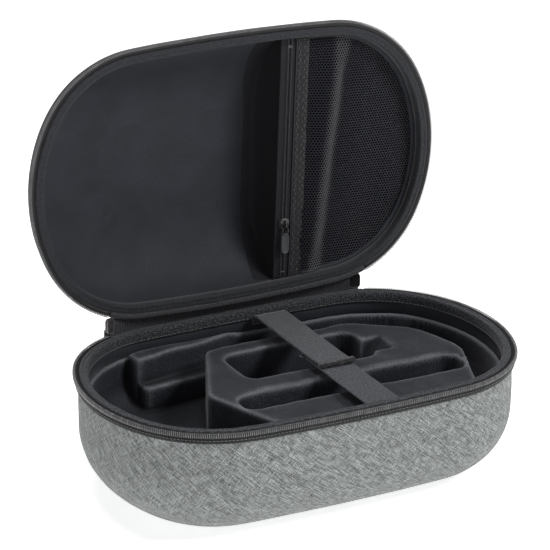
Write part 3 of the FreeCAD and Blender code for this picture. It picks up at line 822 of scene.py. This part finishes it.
def rim_frames(s, inward, z):
    """Points at one height round the rim, with the ways along it and out of it."""
    flat, normals = rim(s)
    level = np.zeros((len(s), 1))
    points = np.concatenate([flat - normals * inward, level + z], 1)
    along = np.concatenate([-normals[:, 1:], normals[:, :1], level], 1)
    out = np.concatenate([normals, level], 1)
    return points, along, out


def rim_piece(shape, prefix, name, material, slot, node=None):
    """Build one rim's piece, opened with the lid where it is the lid's."""
    if prefix == "lid":
        shape.opened()
    return shape.build(prefix + name, material, prefix, slot, (prefix + node,) if node else ())


def binding(prefix, cloth):
    """Woven lip with the raised lap of its seam at the hinge side."""
    _, way = RIMS[prefix]
    s, _ = spread_s(LIP_STEP)
    profile = np.array(rim_profile(prefix, LIP_SECTION))
    inward = profile[:, 0]
    points = ring(s, profile)
    points[..., 2] -= way * 0.12 * waves(s[:, None], inward[None, :] * 3, 22, 21)
    lap = bell(s, LIP_SEAM + 4.0, 4.0) * 0.35 - bell(s, LIP_SEAM, 0.9) * 0.4
    points[..., 2] -= way * lap[:, None] * (inward[None, :] < 10.3)
    _, normals = rim(s)
    inner = (inward > inward.mean() + 1)[None, :, None]
    points[..., :2] -= normals[:, None, :] * lap[:, None, None] * inner
    shape = Shape()
    shape.grid(points, np.append(s, RIM_LENGTH), lengths(profile), wrap_u=True, wrap_v=True)
    return rim_piece(shape, prefix, "_binding_cloth", cloth, "binding", "_binding")


def stitch_row(shape, places, ways, ups, length, radius):
    """Short sewn threads: each dips at both ends."""
    pattern = Shape()
    t = np.linspace(-1, 1, 5)
    path = np.stack([t * length / 2, np.zeros(5), 0.45 * radius * (1 - t ** 2) * 2 - radius * 0.6], 1)
    pattern.tube(path, radius, sides=5)
    asides = np.cross(ups, ways)
    shape.copies(pattern, places, np.stack([ways, asides, ups], 1))


def rim_stitches(prefix, name, inward, drop, pitch=3.4, first=0.0, last=None, outward=False):
    """A row of stitches round a rim's wall, on its inner or outer face."""
    rim_z, way = RIMS[prefix]
    s, _ = spread_s(pitch, first, last)
    points, along, out = rim_frames(s, inward, rim_z + way * drop)
    shape = Shape()
    stitch_row(shape, points, along, out if outward else -out, pitch * 0.72, 0.22)
    return rim_piece(shape, prefix, name, THREAD, "binding")


def zip_tape(prefix):
    """Outer woven band under the coil, slightly bulged, its edge turned in."""
    shape = Shape()
    lap = 3
    swept(shape, rim_profile(prefix, TAPE_SECTION), 2.0, ZIP_START - lap, RIM_LENGTH - ZIP_START + lap,
          ripple=0.06, seed=7)
    return rim_piece(shape, prefix, "_zip_band", TAPE, "zip_tape", "_zip_tape")


def rim_coil(prefix, nylon, offset):
    """Nylon coil in the plane of the wall: one upright bent loop for each tooth."""
    rim_z, way = RIMS[prefix]
    pattern = Shape()
    pattern.tube([(t, n, way * drop) for t, n, drop in TOOTH_PATH], TOOTH_RADIUS, sides=6)
    s = np.arange(ZIP_START + 1 + offset, RIM_LENGTH - ZIP_START - 1, TOOTH_PITCH)
    origins, along, out = rim_frames(s, 0.0, rim_z)
    shape = Shape()
    shape.copies(pattern, origins, np.stack([along, out, np.tile(UP, (len(s), 1))], 1))
    rim_piece(shape, prefix, "_coil_teeth", nylon, "zip_coil", "_zip_coil")
    core = Shape()
    swept(core, rim_profile(prefix, CORE_SECTION), RIM_STEP, ZIP_START, RIM_LENGTH - ZIP_START)
    return rim_piece(core, prefix, "_coil_core", COIL_CORE, "zip_coil")


def hinge_welt(prefix):
    """Folded tape edge that takes the zip's place along the hinge."""
    shape = Shape()
    swept(shape, rim_profile(prefix, WELT_SECTION), 1.6, -ZIP_START, ZIP_START, ripple=0.08, seed=9)
    return rim_piece(shape, prefix, "_hinge_fold", GUSSET, "gusset", "_hinge_welt")


def hinge_strip():
    """Ribbed tape from the tub's back wall to the lid's, bent as the lid is opened."""
    s = np.arange(-ZIP_START - 2, ZIP_START + 2, STRIP_STEP)
    height = np.concatenate([np.linspace(STRIP_LOW, 84, 7), np.linspace(LID_LOW, STRIP_HIGH, 18)])
    rise = (height - LID_LOW).clip(0) / LID_FULL
    lean = (DOME_IN - COVER_IN) * (1 - np.sqrt(1 - rise ** 2)) + STRIP_TUCK * smooth_step(height, 99, 103)
    bend = smooth_step(height, BASE_TOP, STRIP_BENT)[None, :] * OPEN
    clearance = np.where(s > 0, SHORT_LEFT, SHORT_RIGHT)[:, None]
    short = (1 - smooth_step(height, 95.5, 98.5))[None, :] * clearance / ZIP_START
    _, normals = rim(s)
    rows = []
    for inward, side in STRIP_FACES:
        points = np.zeros((len(s), len(height), 3))
        for column, z in enumerate(height):
            points[:, column] = ring(s * (1 - short[:, column]), [(inward + lean[column], z)])[:, 0]
        ribs = 0.14 * side * np.cos(s * 2 * math.pi / STRIP_RIB)
        points[..., :2] += normals[:, None, :] * ribs[:, None, None]
        rows.append(opened(points, bend))
    points = np.concatenate([rows[0], rows[1][:, ::-1]], 1)
    shape = Shape()
    shape.bar(points, s, np.concatenate([height, height[::-1], height[:1]]))
    piece = shape.build("hinge_strip", GUSSET, None, "gusset", ("hinge_gusset",), ride=False)
    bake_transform(piece)
    return piece


# ------------------------------------------------------------------ insert

def insert_tray():
    """Knit-covered moulded insert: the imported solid, with its edges softened."""
    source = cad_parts["insert_tray"]
    piece = bpy.data.objects.new("tray_source", source.data.copy())
    bpy.context.scene.collection.objects.link(piece)
    remesh = piece.modifiers.new("remesh", "REMESH")
    remesh.mode = "VOXEL"
    remesh.voxel_size = TRAY_VOXEL * MM
    soften = piece.modifiers.new("soften", "SMOOTH")
    soften.factor = 0.5
    soften.iterations = TRAY_SOFTENING
    graph = bpy.context.evaluated_depsgraph_get()
    mesh = bpy.data.meshes.new_from_object(piece.evaluated_get(graph))
    bpy.data.objects.remove(piece)
    sculpt_tray(mesh)
    mesh.shade_smooth()
    tray = placed("insert_tray_cloth", mesh, TRAY_KNIT, "base", ("insert_tray",))
    return tray


def sculpt_tray(mesh):
    """Soft unevenness, the puckers at the slot's end and the rise along its back edge."""
    points = np.zeros(len(mesh.vertices) * 3)
    mesh.vertices.foreach_get("co", points)
    points = points.reshape(-1, 3) / MM
    x, y, z = points.T
    upper = smooth_step(z, 60, 70)
    ridge = bell(y, -13.5, 3.2) * smooth_step(x, -50, -30) * (1 - smooth_step(x, 96, 112))
    end_x, end_y = SLOT_END
    folds = np.sin(np.arctan2(y - end_y, x - end_x) * 5 + 0.7)
    pucker = bell(np.hypot(x - end_x - 1, y - end_y), 5.0, 4.5) * folds
    drop = 0.35 * waves(x, y, 55, 31) + 0.12 * waves(x, y, 16, 32)
    z += upper * (1.1 * ridge + 0.55 * pucker + drop)
    points[:, 2] = z
    mesh.vertices.foreach_set("co", (points * MM).ravel())
    mesh.update()
    # Mask for the painted highlight and shade of the insert's knit.
    mark_edge_light(mesh, points)


def mark_edge_light(mesh, points):
    """Store how strongly each place bends outwards as its first thread coordinate: the mask for the
    insert's painted highlight and shade.
    """
    count = len(points)
    pairs = np.zeros(len(mesh.edges) * 2, int)
    mesh.edges.foreach_get("vertices", pairs)
    a, b = pairs.reshape(-1, 2).T
    normals = np.zeros(count * 3)
    mesh.vertices.foreach_get("normal", normals)
    normals = normals.reshape(-1, 3)
    shares = np.bincount(pairs, minlength=count).clip(1)

    def gathered(at_a, at_b):
        return (np.bincount(a, at_a, count) + np.bincount(b, at_b, count)) / shares

    apart = points[a] - points[b]
    bend = ((normals[a] - normals[b]) * apart).sum(1) / (apart ** 2).sum(1).clip(1e-6)
    value = gathered(bend, bend)
    for _ in range(EDGE_LIGHT_SPREAD):
        value = (value + gathered(value[b], value[a])) / 2
    value = np.clip(value * EDGE_LIGHT_GAIN, -0.4, 0.6)
    corners = np.zeros(len(mesh.loops), int)
    mesh.loops.foreach_get("vertex_index", corners)
    threads = np.stack([value[corners], np.zeros(len(corners))], 1)
    layer = mesh.uv_layers.new(name="Threads")
    layer.data.foreach_set("uv", threads.astype(np.float32).ravel())


# ------------------------------------------------------------------ strap

def strap_path(side, mid_z, end_y, sag):
    """Centreline (y, z) of one half: up the wall, over the sewn bend and across the insert."""
    wall_y = 86.6
    foot_z = 77.2
    bend_y = 81.0
    last = side * end_y
    path = [(wall_y, z) for z in (74.0, 75.6, foot_z)]
    for t in np.linspace(0.12, 1, 9):
        over = t * t
        beside = 1 - over
        path.append((beside * wall_y + over * bend_y,
                     (1 - t) ** 2 * foot_z + 2 * t * (1 - t) * mid_z + over * mid_z))
    for y in np.arange(79.0, last, -2.0):
        share = (bend_y - y) / (bend_y - last)
        path.append((y, mid_z - sag * math.sin(math.pi * share)))
    path.append((last, mid_z))
    path = np.array(path)
    path[:, 0] *= side
    return path


def strap_half(name, path, material, slot, thick, ribs, replaces):
    """Flat webbing along a path, with rounded edges and lengthwise ribs or matted pile."""
    shape = Shape()
    half = STRAP_WIDTH / 2
    across = np.linspace(-half, half, 61 if ribs else 25)
    beyond = ((np.abs(across) - half + STRAP_EDGE) / STRAP_EDGE).clip(0, 1)
    edge = np.sqrt(np.clip(1 - beyond ** 2, 0.04, 1))
    ways = np.gradient(path, axis=0)
    ways /= np.linalg.norm(ways, axis=1)[:, None]
    ups = np.stack([-ways[:, 1], ways[:, 0]], 1)
    if ups[-1, 1] < 0:
        ups = -ups
    run = np.concatenate([[0], np.cumsum(np.linalg.norm(np.diff(path, axis=0), axis=1))])
    rows = []
    for side in (1, -1):
        lift = side * thick / 2 * edge[None, :] * np.ones((len(path), 1))
        if ribs:
            lift += side * 0.13 * np.cos(across * 2 * math.pi / ELASTIC_RIB)[None, :] * edge[None, :]
        else:
            lift += side * 0.07 * waves(across[None, :] * 3, run[:, None] * 3, 9, 41)
        x = STRAP_X + across[None, :] + 0.18 * waves(run, run * 0, 34, 43)[:, None]
        y = path[:, None, 0] + ups[:, None, 0] * lift
        z = path[:, None, 1] + ups[:, None, 1] * lift
        rows.append(np.stack([np.broadcast_to(x, y.shape), y, z], 2))
    points = np.concatenate([rows[0], rows[1][:, ::-1]], 1)
    v = np.concatenate([across, across[::-1], across[:1]])
    shape.grid(points, run, v, wrap_v=True)
    for row in (points[0], points[-1]):
        count = len(across)
        faces = [(i, i + 1, 2 * count - 2 - i, 2 * count - 1 - i) for i in range(count - 1)]
        shape.add(row, faces, [(0, 0)] * 4 * len(faces))
    piece = shape.build(name, material, None, slot, replaces, ride=False)
    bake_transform(piece)
    return piece


def strap():
    """Both halves, the hook face between them, the sewn end and the elastic's tip."""
    back = strap_path(1, LOOP_MID_Z, STRAP_END_Y, 0.3)
    front = strap_path(-1, ELASTIC_MID_Z, 6.0, 0.4)
    strap_half("strap_loop_band", back, LOOP_PILE, "loop_pile", 1.5, False,
               ("strap_loop_webbing", "strap_back_anchor"))
    strap_half("strap_elastic_band", front, ELASTIC, "elastic", 1.3, True,
               ("strap_elastic", "strap_front_anchor"))
    hook_patch()
    strap_fold()
    fold_stitches()
    elastic_tip()


def hook_patch():
    """Hook face under the loop-pile half, where it grips the elastic half."""
    shape = Shape()
    half = STRAP_WIDTH / 2 - 1
    shape.add(*block(STRAP_X - half, STRAP_X + half, STRAP_END_Y + 0.2, 5.8, 80.28, 80.62, 0.15,
                     lambda points: points, 2))
    return shape.build("strap_hook_face", HOOK_PILE, "strap_back", "hook_pile", ("strap_hook_patch",))


def fold_z(x):
    """Height of the folded end's middle, which lifts towards its right end."""
    return 81.6 + 0.5 * smooth_step(x, 24, 36)


def strap_fold():
    """Turned-over end of the loop-pile half, with its bristly edge."""
    shape = Shape()
    x = np.linspace(9.8, 36.0, 40)
    turns = np.linspace(0, 2 * math.pi, 17)[:-1]
    points = np.zeros((len(x), len(turns), 3))
    swell = 1 + 0.10 * waves(x[:, None], turns[None, :] * 4, 6, 51)
    points[..., 0] = x[:, None]
    points[..., 1] = FOLD_Y + 3.1 * np.cos(turns)[None, :] * swell + 0.5 * waves(x, x * 0, 12, 52)[:, None]
    points[..., 2] = fold_z(x)[:, None] + 1.25 * np.sin(turns)[None, :] * swell
    shape.bar(points, x, np.append(turns * 2, 4 * math.pi))
    fold_bristles(shape)
    return shape.build("strap_end_roll", HOOK_PILE, "strap_back", "hook_pile", ("strap_end_fold",))


def fold_bristles(shape):
    draw = np.random.default_rng(53)
    for _ in range(BRISTLES):
        at = draw.uniform(10.2, 35.6)
        turn = draw.uniform(1.9, 4.3)
        root = np.array([at, FOLD_Y + 2.9 * math.cos(turn), fold_z(at) + 1.1 * math.sin(turn)])
        aside = draw.uniform(-0.5, 0.5)
        way = np.array([aside, math.cos(turn), math.sin(turn) * 0.8 + draw.uniform(-0.4, 0.4)])
        tip = root + way / np.linalg.norm(way) * draw.uniform(0.5, 1.1)
        shape.tube([root, (root + tip) / 2 + 0.08, tip], 0.09, sides=4)


def fold_stitches():
    """Slanting stitches across the strap, in front of its folded end."""
    shape = Shape()
    places = np.array([(at, -12.6 + 0.25 * math.sin(at * 2.5), 82.35) for at in np.arange(10.6, 34.6, 1.5)])
    ways = np.tile([0.9, 0.43, 0.0], (len(places), 1))
    stitch_row(shape, places, ways, np.tile(UP, (len(places), 1)), 1.5, 0.24)
    return shape.build("strap_end_stitches", THREAD, "strap_back", "hook_pile")


def elastic_tip():
    """Small light loop of the elastic's turned end, sticking out under the other half."""
    shape = Shape()
    tail_x = 18.0
    for lift, reach in ((0.0, 0.0), (0.75, 0.5)):
        z = 79.1 + lift
        turns = np.linspace(-0.2, math.pi + 0.2, 12)
        loop = [(9.4 - (2.0 + reach) * math.sin(t), 8.3 + 2.1 * math.cos(t), z) for t in turns]
        shape.tube([(tail_x, loop[0][1], z)] + loop + [(tail_x, loop[-1][1], z)], 0.42, sides=7)
    return shape.build("strap_elastic_loop", ELASTIC, "strap_front", "elastic", ("strap_elastic_tip",))


# ------------------------------------------------------------------ pocket

def pocket_fold(x, y):
    """How far the mesh stands towards the viewer: a long crease with a facet beside it."""
    across = x - CREASE_X + CREASE_SLOPE * (y - 15)
    rise = (4.2 * smooth_step(across, -20, -6) - 6.6 * smooth_step(across, -4, 7)
            - 1.4 * smooth_step(across, 10, 50))
    fade = smooth_step(y, -82, -52) * (1 - 0.55 * smooth_step(y, 60, 84))
    soft = 0.5 * waves(x, y, 38, 61) * smooth_step(x, 56, 64)
    return rise * fade + soft


def pocket_mesh():
    """Air mesh: a face of hexagonal holes, with a closed back behind it."""
    row, column = np.meshgrid(np.arange(-69, 69), np.arange(-4, 56), indexing="ij")
    v = (row * MESH_PITCH * math.sqrt(3) / 2).ravel()
    u = (HEM_OUT + column * MESH_PITCH + (row % 2) * MESH_PITCH / 2).ravel()
    flat = along_zip(u, v, 0.0)
    inside = (inward_at(flat[:, 0], flat[:, 1]) > 11.0) & (u > HEM_OUT - 1.5)
    corners = np.radians(np.arange(6) * 60 + 30)
    face = Shape()
    for middle_u, middle_v in zip(u[inside], v[inside]):
        rings = []
        for share, depth in MESH_LEVELS:
            radius = share * MESH_PITCH
            across = middle_u + radius * np.cos(corners)
            along = middle_v + radius * np.sin(corners)
            rings.append(along_zip(across, along, POCKET_Z + depth))
        face.grid(np.stack(rings, 1), np.arange(7) * 0.7, np.arange(4) * 0.4, wrap_u=True)
    points = np.concatenate(face.points)
    points[:, 2] -= pocket_fold(points[:, 0], points[:, 1])
    face.points = [points]
    front = face.opened().build("pocket_mesh_face", MESH, "lid", "mesh")
    back = pocket_back()
    return back


def pocket_back():
    """Closed cloth behind the mesh, cut to the lid's wall."""
    shape = Shape()
    grid_u, grid_v = np.meshgrid(np.arange(HEM_OUT - 2, 112, 2.0), np.arange(-92, 92.1, 2.0), indexing="ij")
    rows, columns = grid_u.shape
    points = along_zip(grid_u, grid_v, POCKET_Z + 0.8)
    keep = (inward_at(points[..., 0], points[..., 1]) > 10.2).ravel()
    points[..., 2] -= pocket_fold(points[..., 0], points[..., 1])
    faces = []
    for i in range(rows - 1):
        for j in range(columns - 1):
            first = i * columns + j
            face = (first, first + columns, first + columns + 1, first + 1)
            if all(keep[corner] for corner in face):
                faces.append(face)
    flat = np.stack([grid_u, grid_v], -1).reshape(-1, 2)
    threads = [tuple(flat[corner]) for face in faces for corner in face]
    used = sorted({corner for face in faces for corner in face})
    index = {old: new for new, old in enumerate(used)}
    faces = [tuple(index[corner] for corner in face) for face in faces]
    shape.add(points.reshape(-1, 3)[used], faces, threads)
    return shape.opened().build("pocket_mesh_back", MESH_BACK, "lid", "mesh", ("pocket_mesh",))


def pocket_edge():
    """Tape that sews the mesh to the lid's wall."""
    shape = Shape()
    s = np.arange(RIM_LENGTH / 2 + 55, RIM_LENGTH + 30, 2.0)
    section = [(9.4, 1.6), (9.6, -0.3), (11.2, -0.9), (12.8, -0.5), (13.4, 0.4), (12.6, 1.2)]
    points = ring(s, [(inward, POCKET_Z + depth) for inward, depth in section])
    local = (points[..., 0] - ZIP_X) * math.cos(ZIP_SLANT) + points[..., 1] * math.sin(ZIP_SLANT)
    keep = local.min(1) > HEM_OUT - 1
    points = points[keep]
    points[..., 2] -= 0.5 * pocket_fold(points[..., 0], points[..., 1])
    shape.bar(points, s[keep], np.arange(7) * 1.6)
    return shape.opened().build("pocket_edge_tape", LINING, "lid", "lining")


def zip_ends(u, reach=11.3):
    """Range along the zip that stays inside the lip, at one place across it."""
    v = np.linspace(-100, 100, 401)
    points = along_zip(np.full(len(v), u), v, 0.0)
    inside = v[inward_at(points[:, 0], points[:, 1]) > reach]
    return inside.min(), inside.max()


def strip(name, profile, material, slot, replaces=(), ripple=0.0, seed=1):
    """Band along the pocket's zip from a closed section of (across, depth)."""
    middle = sum(u for u, _ in profile) / len(profile)
    low, high = zip_ends(middle, 10.2)
    v = np.linspace(low, high, int((high - low) / 2.0) + 1)
    section = np.array(profile)
    points = along_zip(section[None, :, 0], v[:, None], POCKET_Z + section[None, :, 1])
    if ripple:
        points[..., 2] -= ripple * waves(v[:, None], section[None, :, 0] * 2, 18, seed)
    shape = Shape()
    shape.bar(points, v, lengths(section))
    return shape.opened().build(name, material, "lid", slot, replaces)


def pocket_zip():
    """Both tapes, their beads and piping, the hem, its stitches, the coil and the two stops."""
    left = [(-6.2, 0.1), (-5.0, -0.15), (-2.4, -0.2), (-1.7, -0.75), (-0.9, -1.0), (-0.25, -0.6),
            (-0.2, 0.1), (-0.9, 0.5), (-6.0, 0.9)]
    right = [(-u, depth) for u, depth in left][::-1]
    strip("pocket_tape_left", left, POCKET_TAPE, "zip_tape", ("pocket_zip_tape_left",))
    strip("pocket_tape_right", right, POCKET_TAPE, "zip_tape", ("pocket_zip_tape_right",))
    for name, u, depth in (("left", -1.35, -1.0), ("right", 1.35, -1.0), ("hem", 5.3, -0.95)):
        turns = np.radians(range(0, 360, 45))
        bead = [(u + BEAD_RADIUS * math.cos(t), depth + BEAD_RADIUS * math.sin(t)) for t in turns]
        strip("pocket_bead_" + name, bead, BEAD, "zip_tape")
    piping = [(-6.9, 0.4), (-6.7, -0.35), (-6.1, -0.65), (-5.5, -0.35), (-5.4, 0.4), (-6.1, 0.8)]
    strip("pocket_piping", piping, POCKET_TAPE, "zip_tape", ripple=0.08, seed=63)
    hem = [(5.2, -0.5), (6.2, -0.95), (8.0, -1.05), (12.6, -1.0), (14.6, -0.9), (15.2, -0.3),
           (15.0, 0.4), (10.0, 0.7), (5.6, 0.5)]
    strip("pocket_hem_cloth", hem, HEM, "hem", ("pocket_hem_band",), ripple=0.22, seed=65)
    hem_stitches()
    pocket_coil()
    for end, place in (("top", -80.5), ("bottom", 83.5)):
        shape = Shape()
        shape.add(*block(-2.1, 2.1, place - 1.1, place + 1.1, POCKET_Z - 1.2, POCKET_Z - 0.1, 0.3,
                         lambda points: along_zip(*points.T)))
        shape.opened().build("pocket_stop_" + end, LACQUER, "lid", "slider_metal",
                             ("pocket_zip_stop_" + end,))


def hem_stitches():
    shape = Shape()
    for u, swing in ((7.6, 0.5), (12.4, 0.9)):
        low, high = zip_ends(u)
        v = np.arange(low + 2, high - 1, 2.7)
        side = swing * (np.arange(len(v)) % 2 * 2 - 1)
        ways = np.stack([np.sin(side / 2) - math.sin(ZIP_SLANT), np.cos(side / 2), 0 * v], 1)
        ways /= np.linalg.norm(ways, axis=1)[:, None]
        places = along_zip(u + side, v, POCKET_Z - 1.12)
        stitch_row(shape, places, ways, np.tile([0.0, 0.0, -1.0], (len(v), 1)), 2.1, 0.26)
    return shape.opened().build("pocket_hem_stitches", HEM_THREAD, "lid", "hem")


def pocket_coil():
    """Coil loops of the pocket's zip, seen through the slit between its tapes."""
    shape = Shape()
    path = [(-1.5, -0.3, 0.9), (-0.5, -0.25, 1.0), (0.35, -0.05, 0.75), (0.5, 0.05, 0.4),
            (0.35, 0.15, 0.05), (-0.5, 0.3, 0.0), (-1.5, 0.3, 0.1)]
    ways = [along_zip(1, 0, 0) - along_zip(0, 0, 0), along_zip(0, 1, 0) - along_zip(0, 0, 0), UP]
    for side, shift in ((-1, 0.0), (1, TOOTH_PITCH / 2)):
        pattern = Shape()
        pattern.tube([(-side * u, v, depth) for u, v, depth in path], 0.27, sides=5)
        v = np.arange(-77.5, 81.5, TOOTH_PITCH) + shift
        shape.copies(pattern, along_zip(np.zeros(len(v)), v, POCKET_Z), np.tile(ways, (len(v), 1, 1)))
    return shape.opened().build("pocket_coil_teeth", COIL, "lid", "zip_coil", ("pocket_zip_coil",))


def pocket_wall():
    """Cloth wall from the zip back to the lid's lining, bowed inwards."""
    shape = Shape()
    v = np.linspace(-86, 88, 59)
    t = np.linspace(0, 1, 19)
    u = -6.3 - 1.5 * t - 24.5 * t ** 3.2
    depth = 0.6 + 38 * (1 - (1 - t) ** 1.7)
    points = along_zip(u[None, :], v[:, None], POCKET_Z + depth[None, :])
    ceiling = lining_z(points[..., 0], points[..., 1]) - 1.0 + 1.8 * smooth_step(t, 0.7, 0.95)
    points[..., 2] = np.minimum(points[..., 2], np.maximum(ceiling, POCKET_Z + 0.2))
    pleat = 0.8 * waves(v[:, None], depth[None, :] * 0.5, 60, 67) * np.sin(math.pi * t)[None, :]
    points[..., 0] += pleat
    shape.grid(points, v, lengths(np.stack([u, depth], 1))[:-1])
    piece = shape.opened().build("pocket_side_cloth", WALL_KNIT, "lid", "lining", ("pocket_side_wall",))
    return piece


# ------------------------------------------------------------------ sliders and pulls

def slider_body(place):
    """Top plate with flared shoulders, a waist and a raised bridge foot."""
    shape = Shape()
    shape.add(*block(-3.5, 3.5, -4.5, 4.5, 0.0, 1.0, 0.45, place))
    shape.add(*block(-3.3, 3.3, -4.2, 1.0, 0.8, 2.3, 0.5, place))
    shape.add(*block(-2.4, 2.4, 0.4, 4.4, 0.8, 2.1, 0.5, place))
    return shape


def wire(name, path, radius, closed, finish, body, node):
    """Bent metal or cord wire of a slider or its pull."""
    shape = Shape()
    shape.tube(path, radius, sides=8, closed=closed)
    return shape.build(name, finish, body, "slider_metal", (node,))


def loop_path(half_width, middle, half_length, out, count):
    """Points round an oval loop that hangs in a plane at one distance out."""
    turns = np.linspace(0, 2 * math.pi, count + 1)[:-1]
    across = half_width * np.cos(turns)
    along = middle + half_length * np.sin(turns)
    return np.stack([across, along, np.full(count, out)], 1)


def pocket_slider():
    """Small slider with a bridge, a wire ring and a moulded pull."""
    ring_out = 3.4

    def place(points):
        points = np.asarray(points, float)
        return opened(along_zip(points[..., 0], SLIDER_V + points[..., 1], POCKET_Z - 0.4 - points[..., 2]))

    slider_body(place).build("pocket_slider_shell", LACQUER, "pocket_slider", "slider_metal",
                             ("pocket_slider_body",))
    bridge = [(0, -2.8, 2.1), (0, -2.6, 3.4), (0, -1.4, 4.6), (0, 1.4, 4.6), (0, 2.9, 3.4), (0, 3.1, 2.1)]
    wire("pocket_slider_bridge", place(bridge), 0.75, False, LACQUER, "pocket_slider", "pocket_slider_bail")
    wire("pocket_pull_wire", place(loop_path(2.2, 3.9, 2.7, ring_out, 24)), 0.55, True, LACQUER,
         "pocket_pull", "pocket_pull_ring")
    pull = tab(6.0, 15.0, 1.7, 2.9, lambda points: place(points + np.array([0, 5.6, ring_out])))
    pull.build("pocket_pull_plate", PULL, "pocket_pull", "pull_rubber", ("pocket_pull_tab",))


def end_place(side):
    """Placing function of (along the rim, up, outwards) from the middle of an end slider's inner face."""
    turn = ZIP_TURN + SLIDER_TURN
    out = np.array([math.cos(turn), math.sin(turn), 0.0])
    along = np.array([-math.sin(turn), math.cos(turn), 0.0])
    foot = np.array([CORNER.x, CORNER.y, SLIDER_MID_Z]) + out * (CORNER_RADIUS + SLIDER_OFF)

    def place(points):
        points = np.asarray(points, float)
        world = foot + points[..., :1] * along + points[..., 2:] * out
        world[..., 2] += points[..., 1]
        world[..., 0] *= side
        return world

    return place


def end_slider(side, name, finish):
    """Main slider parked at one end of the hinge, with its cord loop and moulded pull."""
    place = end_place(side)
    shape = Shape()
    for middle, way in ((0.55, -1), (2.45, 1)):
        plate = tab(8.8, 10.8, 1.0, 2.6, lambda points: place(points * [1, 1, way] + [0, -5.4, middle]))
        shape.add(np.concatenate(plate.points), plate.faces, plate.threads)
    shape.add(*block(-3.4, 3.4, -2.2, 2.2, 0.9, 2.1, 0.3, place))
    for low in (-5.3, 4.3):
        shape.add(*block(-3.2, 3.2, low, low + 1.0, 0.7, 1.3, 0.25, place))
    shape.build(name + "_slider_shell", finish, "base", "slider_metal", (name + "_slider_body",))
    wire(name + "_slider_bridge", place(BAIL_PATH), 0.6, False, LACQUER, "base", name + "_slider_bail")
    wire(name + "_pull_cord", place(loop_path(2.3, -1.9, 3.5, CORD_OUT, 28)), 0.55, True, COIL_CORE,
         name + "_pull", name + "_slider_pull_loop")
    pull = tab(7.4, 10.3, 2.0, 2.8, lambda points: place(points * [1, -1, 1] + [0, -2.4, CORD_OUT]))
    pull.build(name + "_pull_plate", BLACK_PULL, name + "_pull", "pull_rubber",
               (name + "_slider_pull_tab",))


# ------------------------------------------------------------------ studio

def area_light(name, place, size, power):
    data = bpy.data.lights.new(name, "AREA")
    data.shape = "DISK"
    data.size = size
    data.energy = power
    light = bpy.data.objects.new(name, data)
    light.location = place
    light.rotation_euler = (Vector(LIGHT_AIM) - Vector(place)).to_track_quat("-Z", "Y").to_euler()
    bpy.context.scene.collection.objects.link(light)


def studio():
    world = bpy.data.worlds.new("studio")
    world.use_nodes = True
    sky = world.node_tree.nodes["Background"]
    sky.inputs["Color"].default_value = (1, 1, 1, 1)
    sky.inputs["Strength"].default_value = SKY_STRENGTH
    bpy.context.scene.world = world
    bpy.context.scene.view_settings.view_transform = "Standard"
    for name, (place, size, power) in LIGHTS.items():
        area_light(name, place, size, power)
    mesh = bpy.data.meshes.new("studio_floor")
    corners = ((-1, -1), (1, -1), (1, 1), (-1, 1))
    mesh.from_pydata([(x * FLOOR_HALF, y * FLOOR_HALF, FLOOR_Z) for x, y in corners], [], [(0, 1, 2, 3)])
    mesh.materials.append(studio_white("studio_floor_white", (0.9, 0.9, 0.9), 0.7))
    floor = bpy.data.objects.new("studio_floor", mesh)
    bpy.context.scene.collection.objects.link(floor)


def camera():
    """The view of the object from the front left, from above, with a long lens."""
    data = bpy.data.cameras.new("camera")
    data.lens = LENS
    data.sensor_width = 36.0
    data.clip_end = 100
    eye = Vector(EYE)
    turn = (Vector(AIM) - eye).to_track_quat("-Z", "Y").to_matrix().to_4x4()
    view = bpy.data.objects.new("camera", data)
    view.matrix_world = Matrix.Translation(eye) @ turn @ Matrix.Rotation(ROLL, 4, "Z")
    bpy.context.scene.collection.objects.link(view)
    bpy.context.scene.camera = view


# ------------------------------------------------------------------ the whole case

def case():
    for node in ("base_shell", "lid_shell"):
        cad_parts[node].data.materials.clear()
        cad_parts[node].data.materials.append(FOAM)
    for cloth in (tub_cover(), lid_cover()):
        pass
    lid_lining()
    base_lining()
    binding("base", BINDING)
    binding("lid", LID_BINDING)
    for prefix in RIMS:
        rim_stitches(prefix, "_binding_stitches", LIP_IN + 0.02, LIP_STITCH_DROP)
    # The lid's coil takes the lighter copy of the nylon, painted light.
    for prefix, nylon, offset in (("base", COIL, 0.0), ("lid", LID_COIL_PAINTED_LIGHT, TOOTH_PITCH / 2)):
        zip_tape(prefix)
        rim_coil(prefix, nylon, offset)
        hinge_welt(prefix)
    rim_stitches("base", "_tape_stitches", 1.42, 5.2, 2.6, ZIP_START, RIM_LENGTH - ZIP_START, outward=True)
    hinge_strip()
    insert_tray()
    strap()
    pocket_mesh()
    pocket_edge()
    pocket_zip()
    pocket_wall()
    pocket_slider()
    # The left slider takes the lacquer lightened with painted light.
    end_slider(-1, "left", LACQUER_PAINTED_LIT)
    end_slider(1, "right", LACQUER)


case()
studio()
camera()
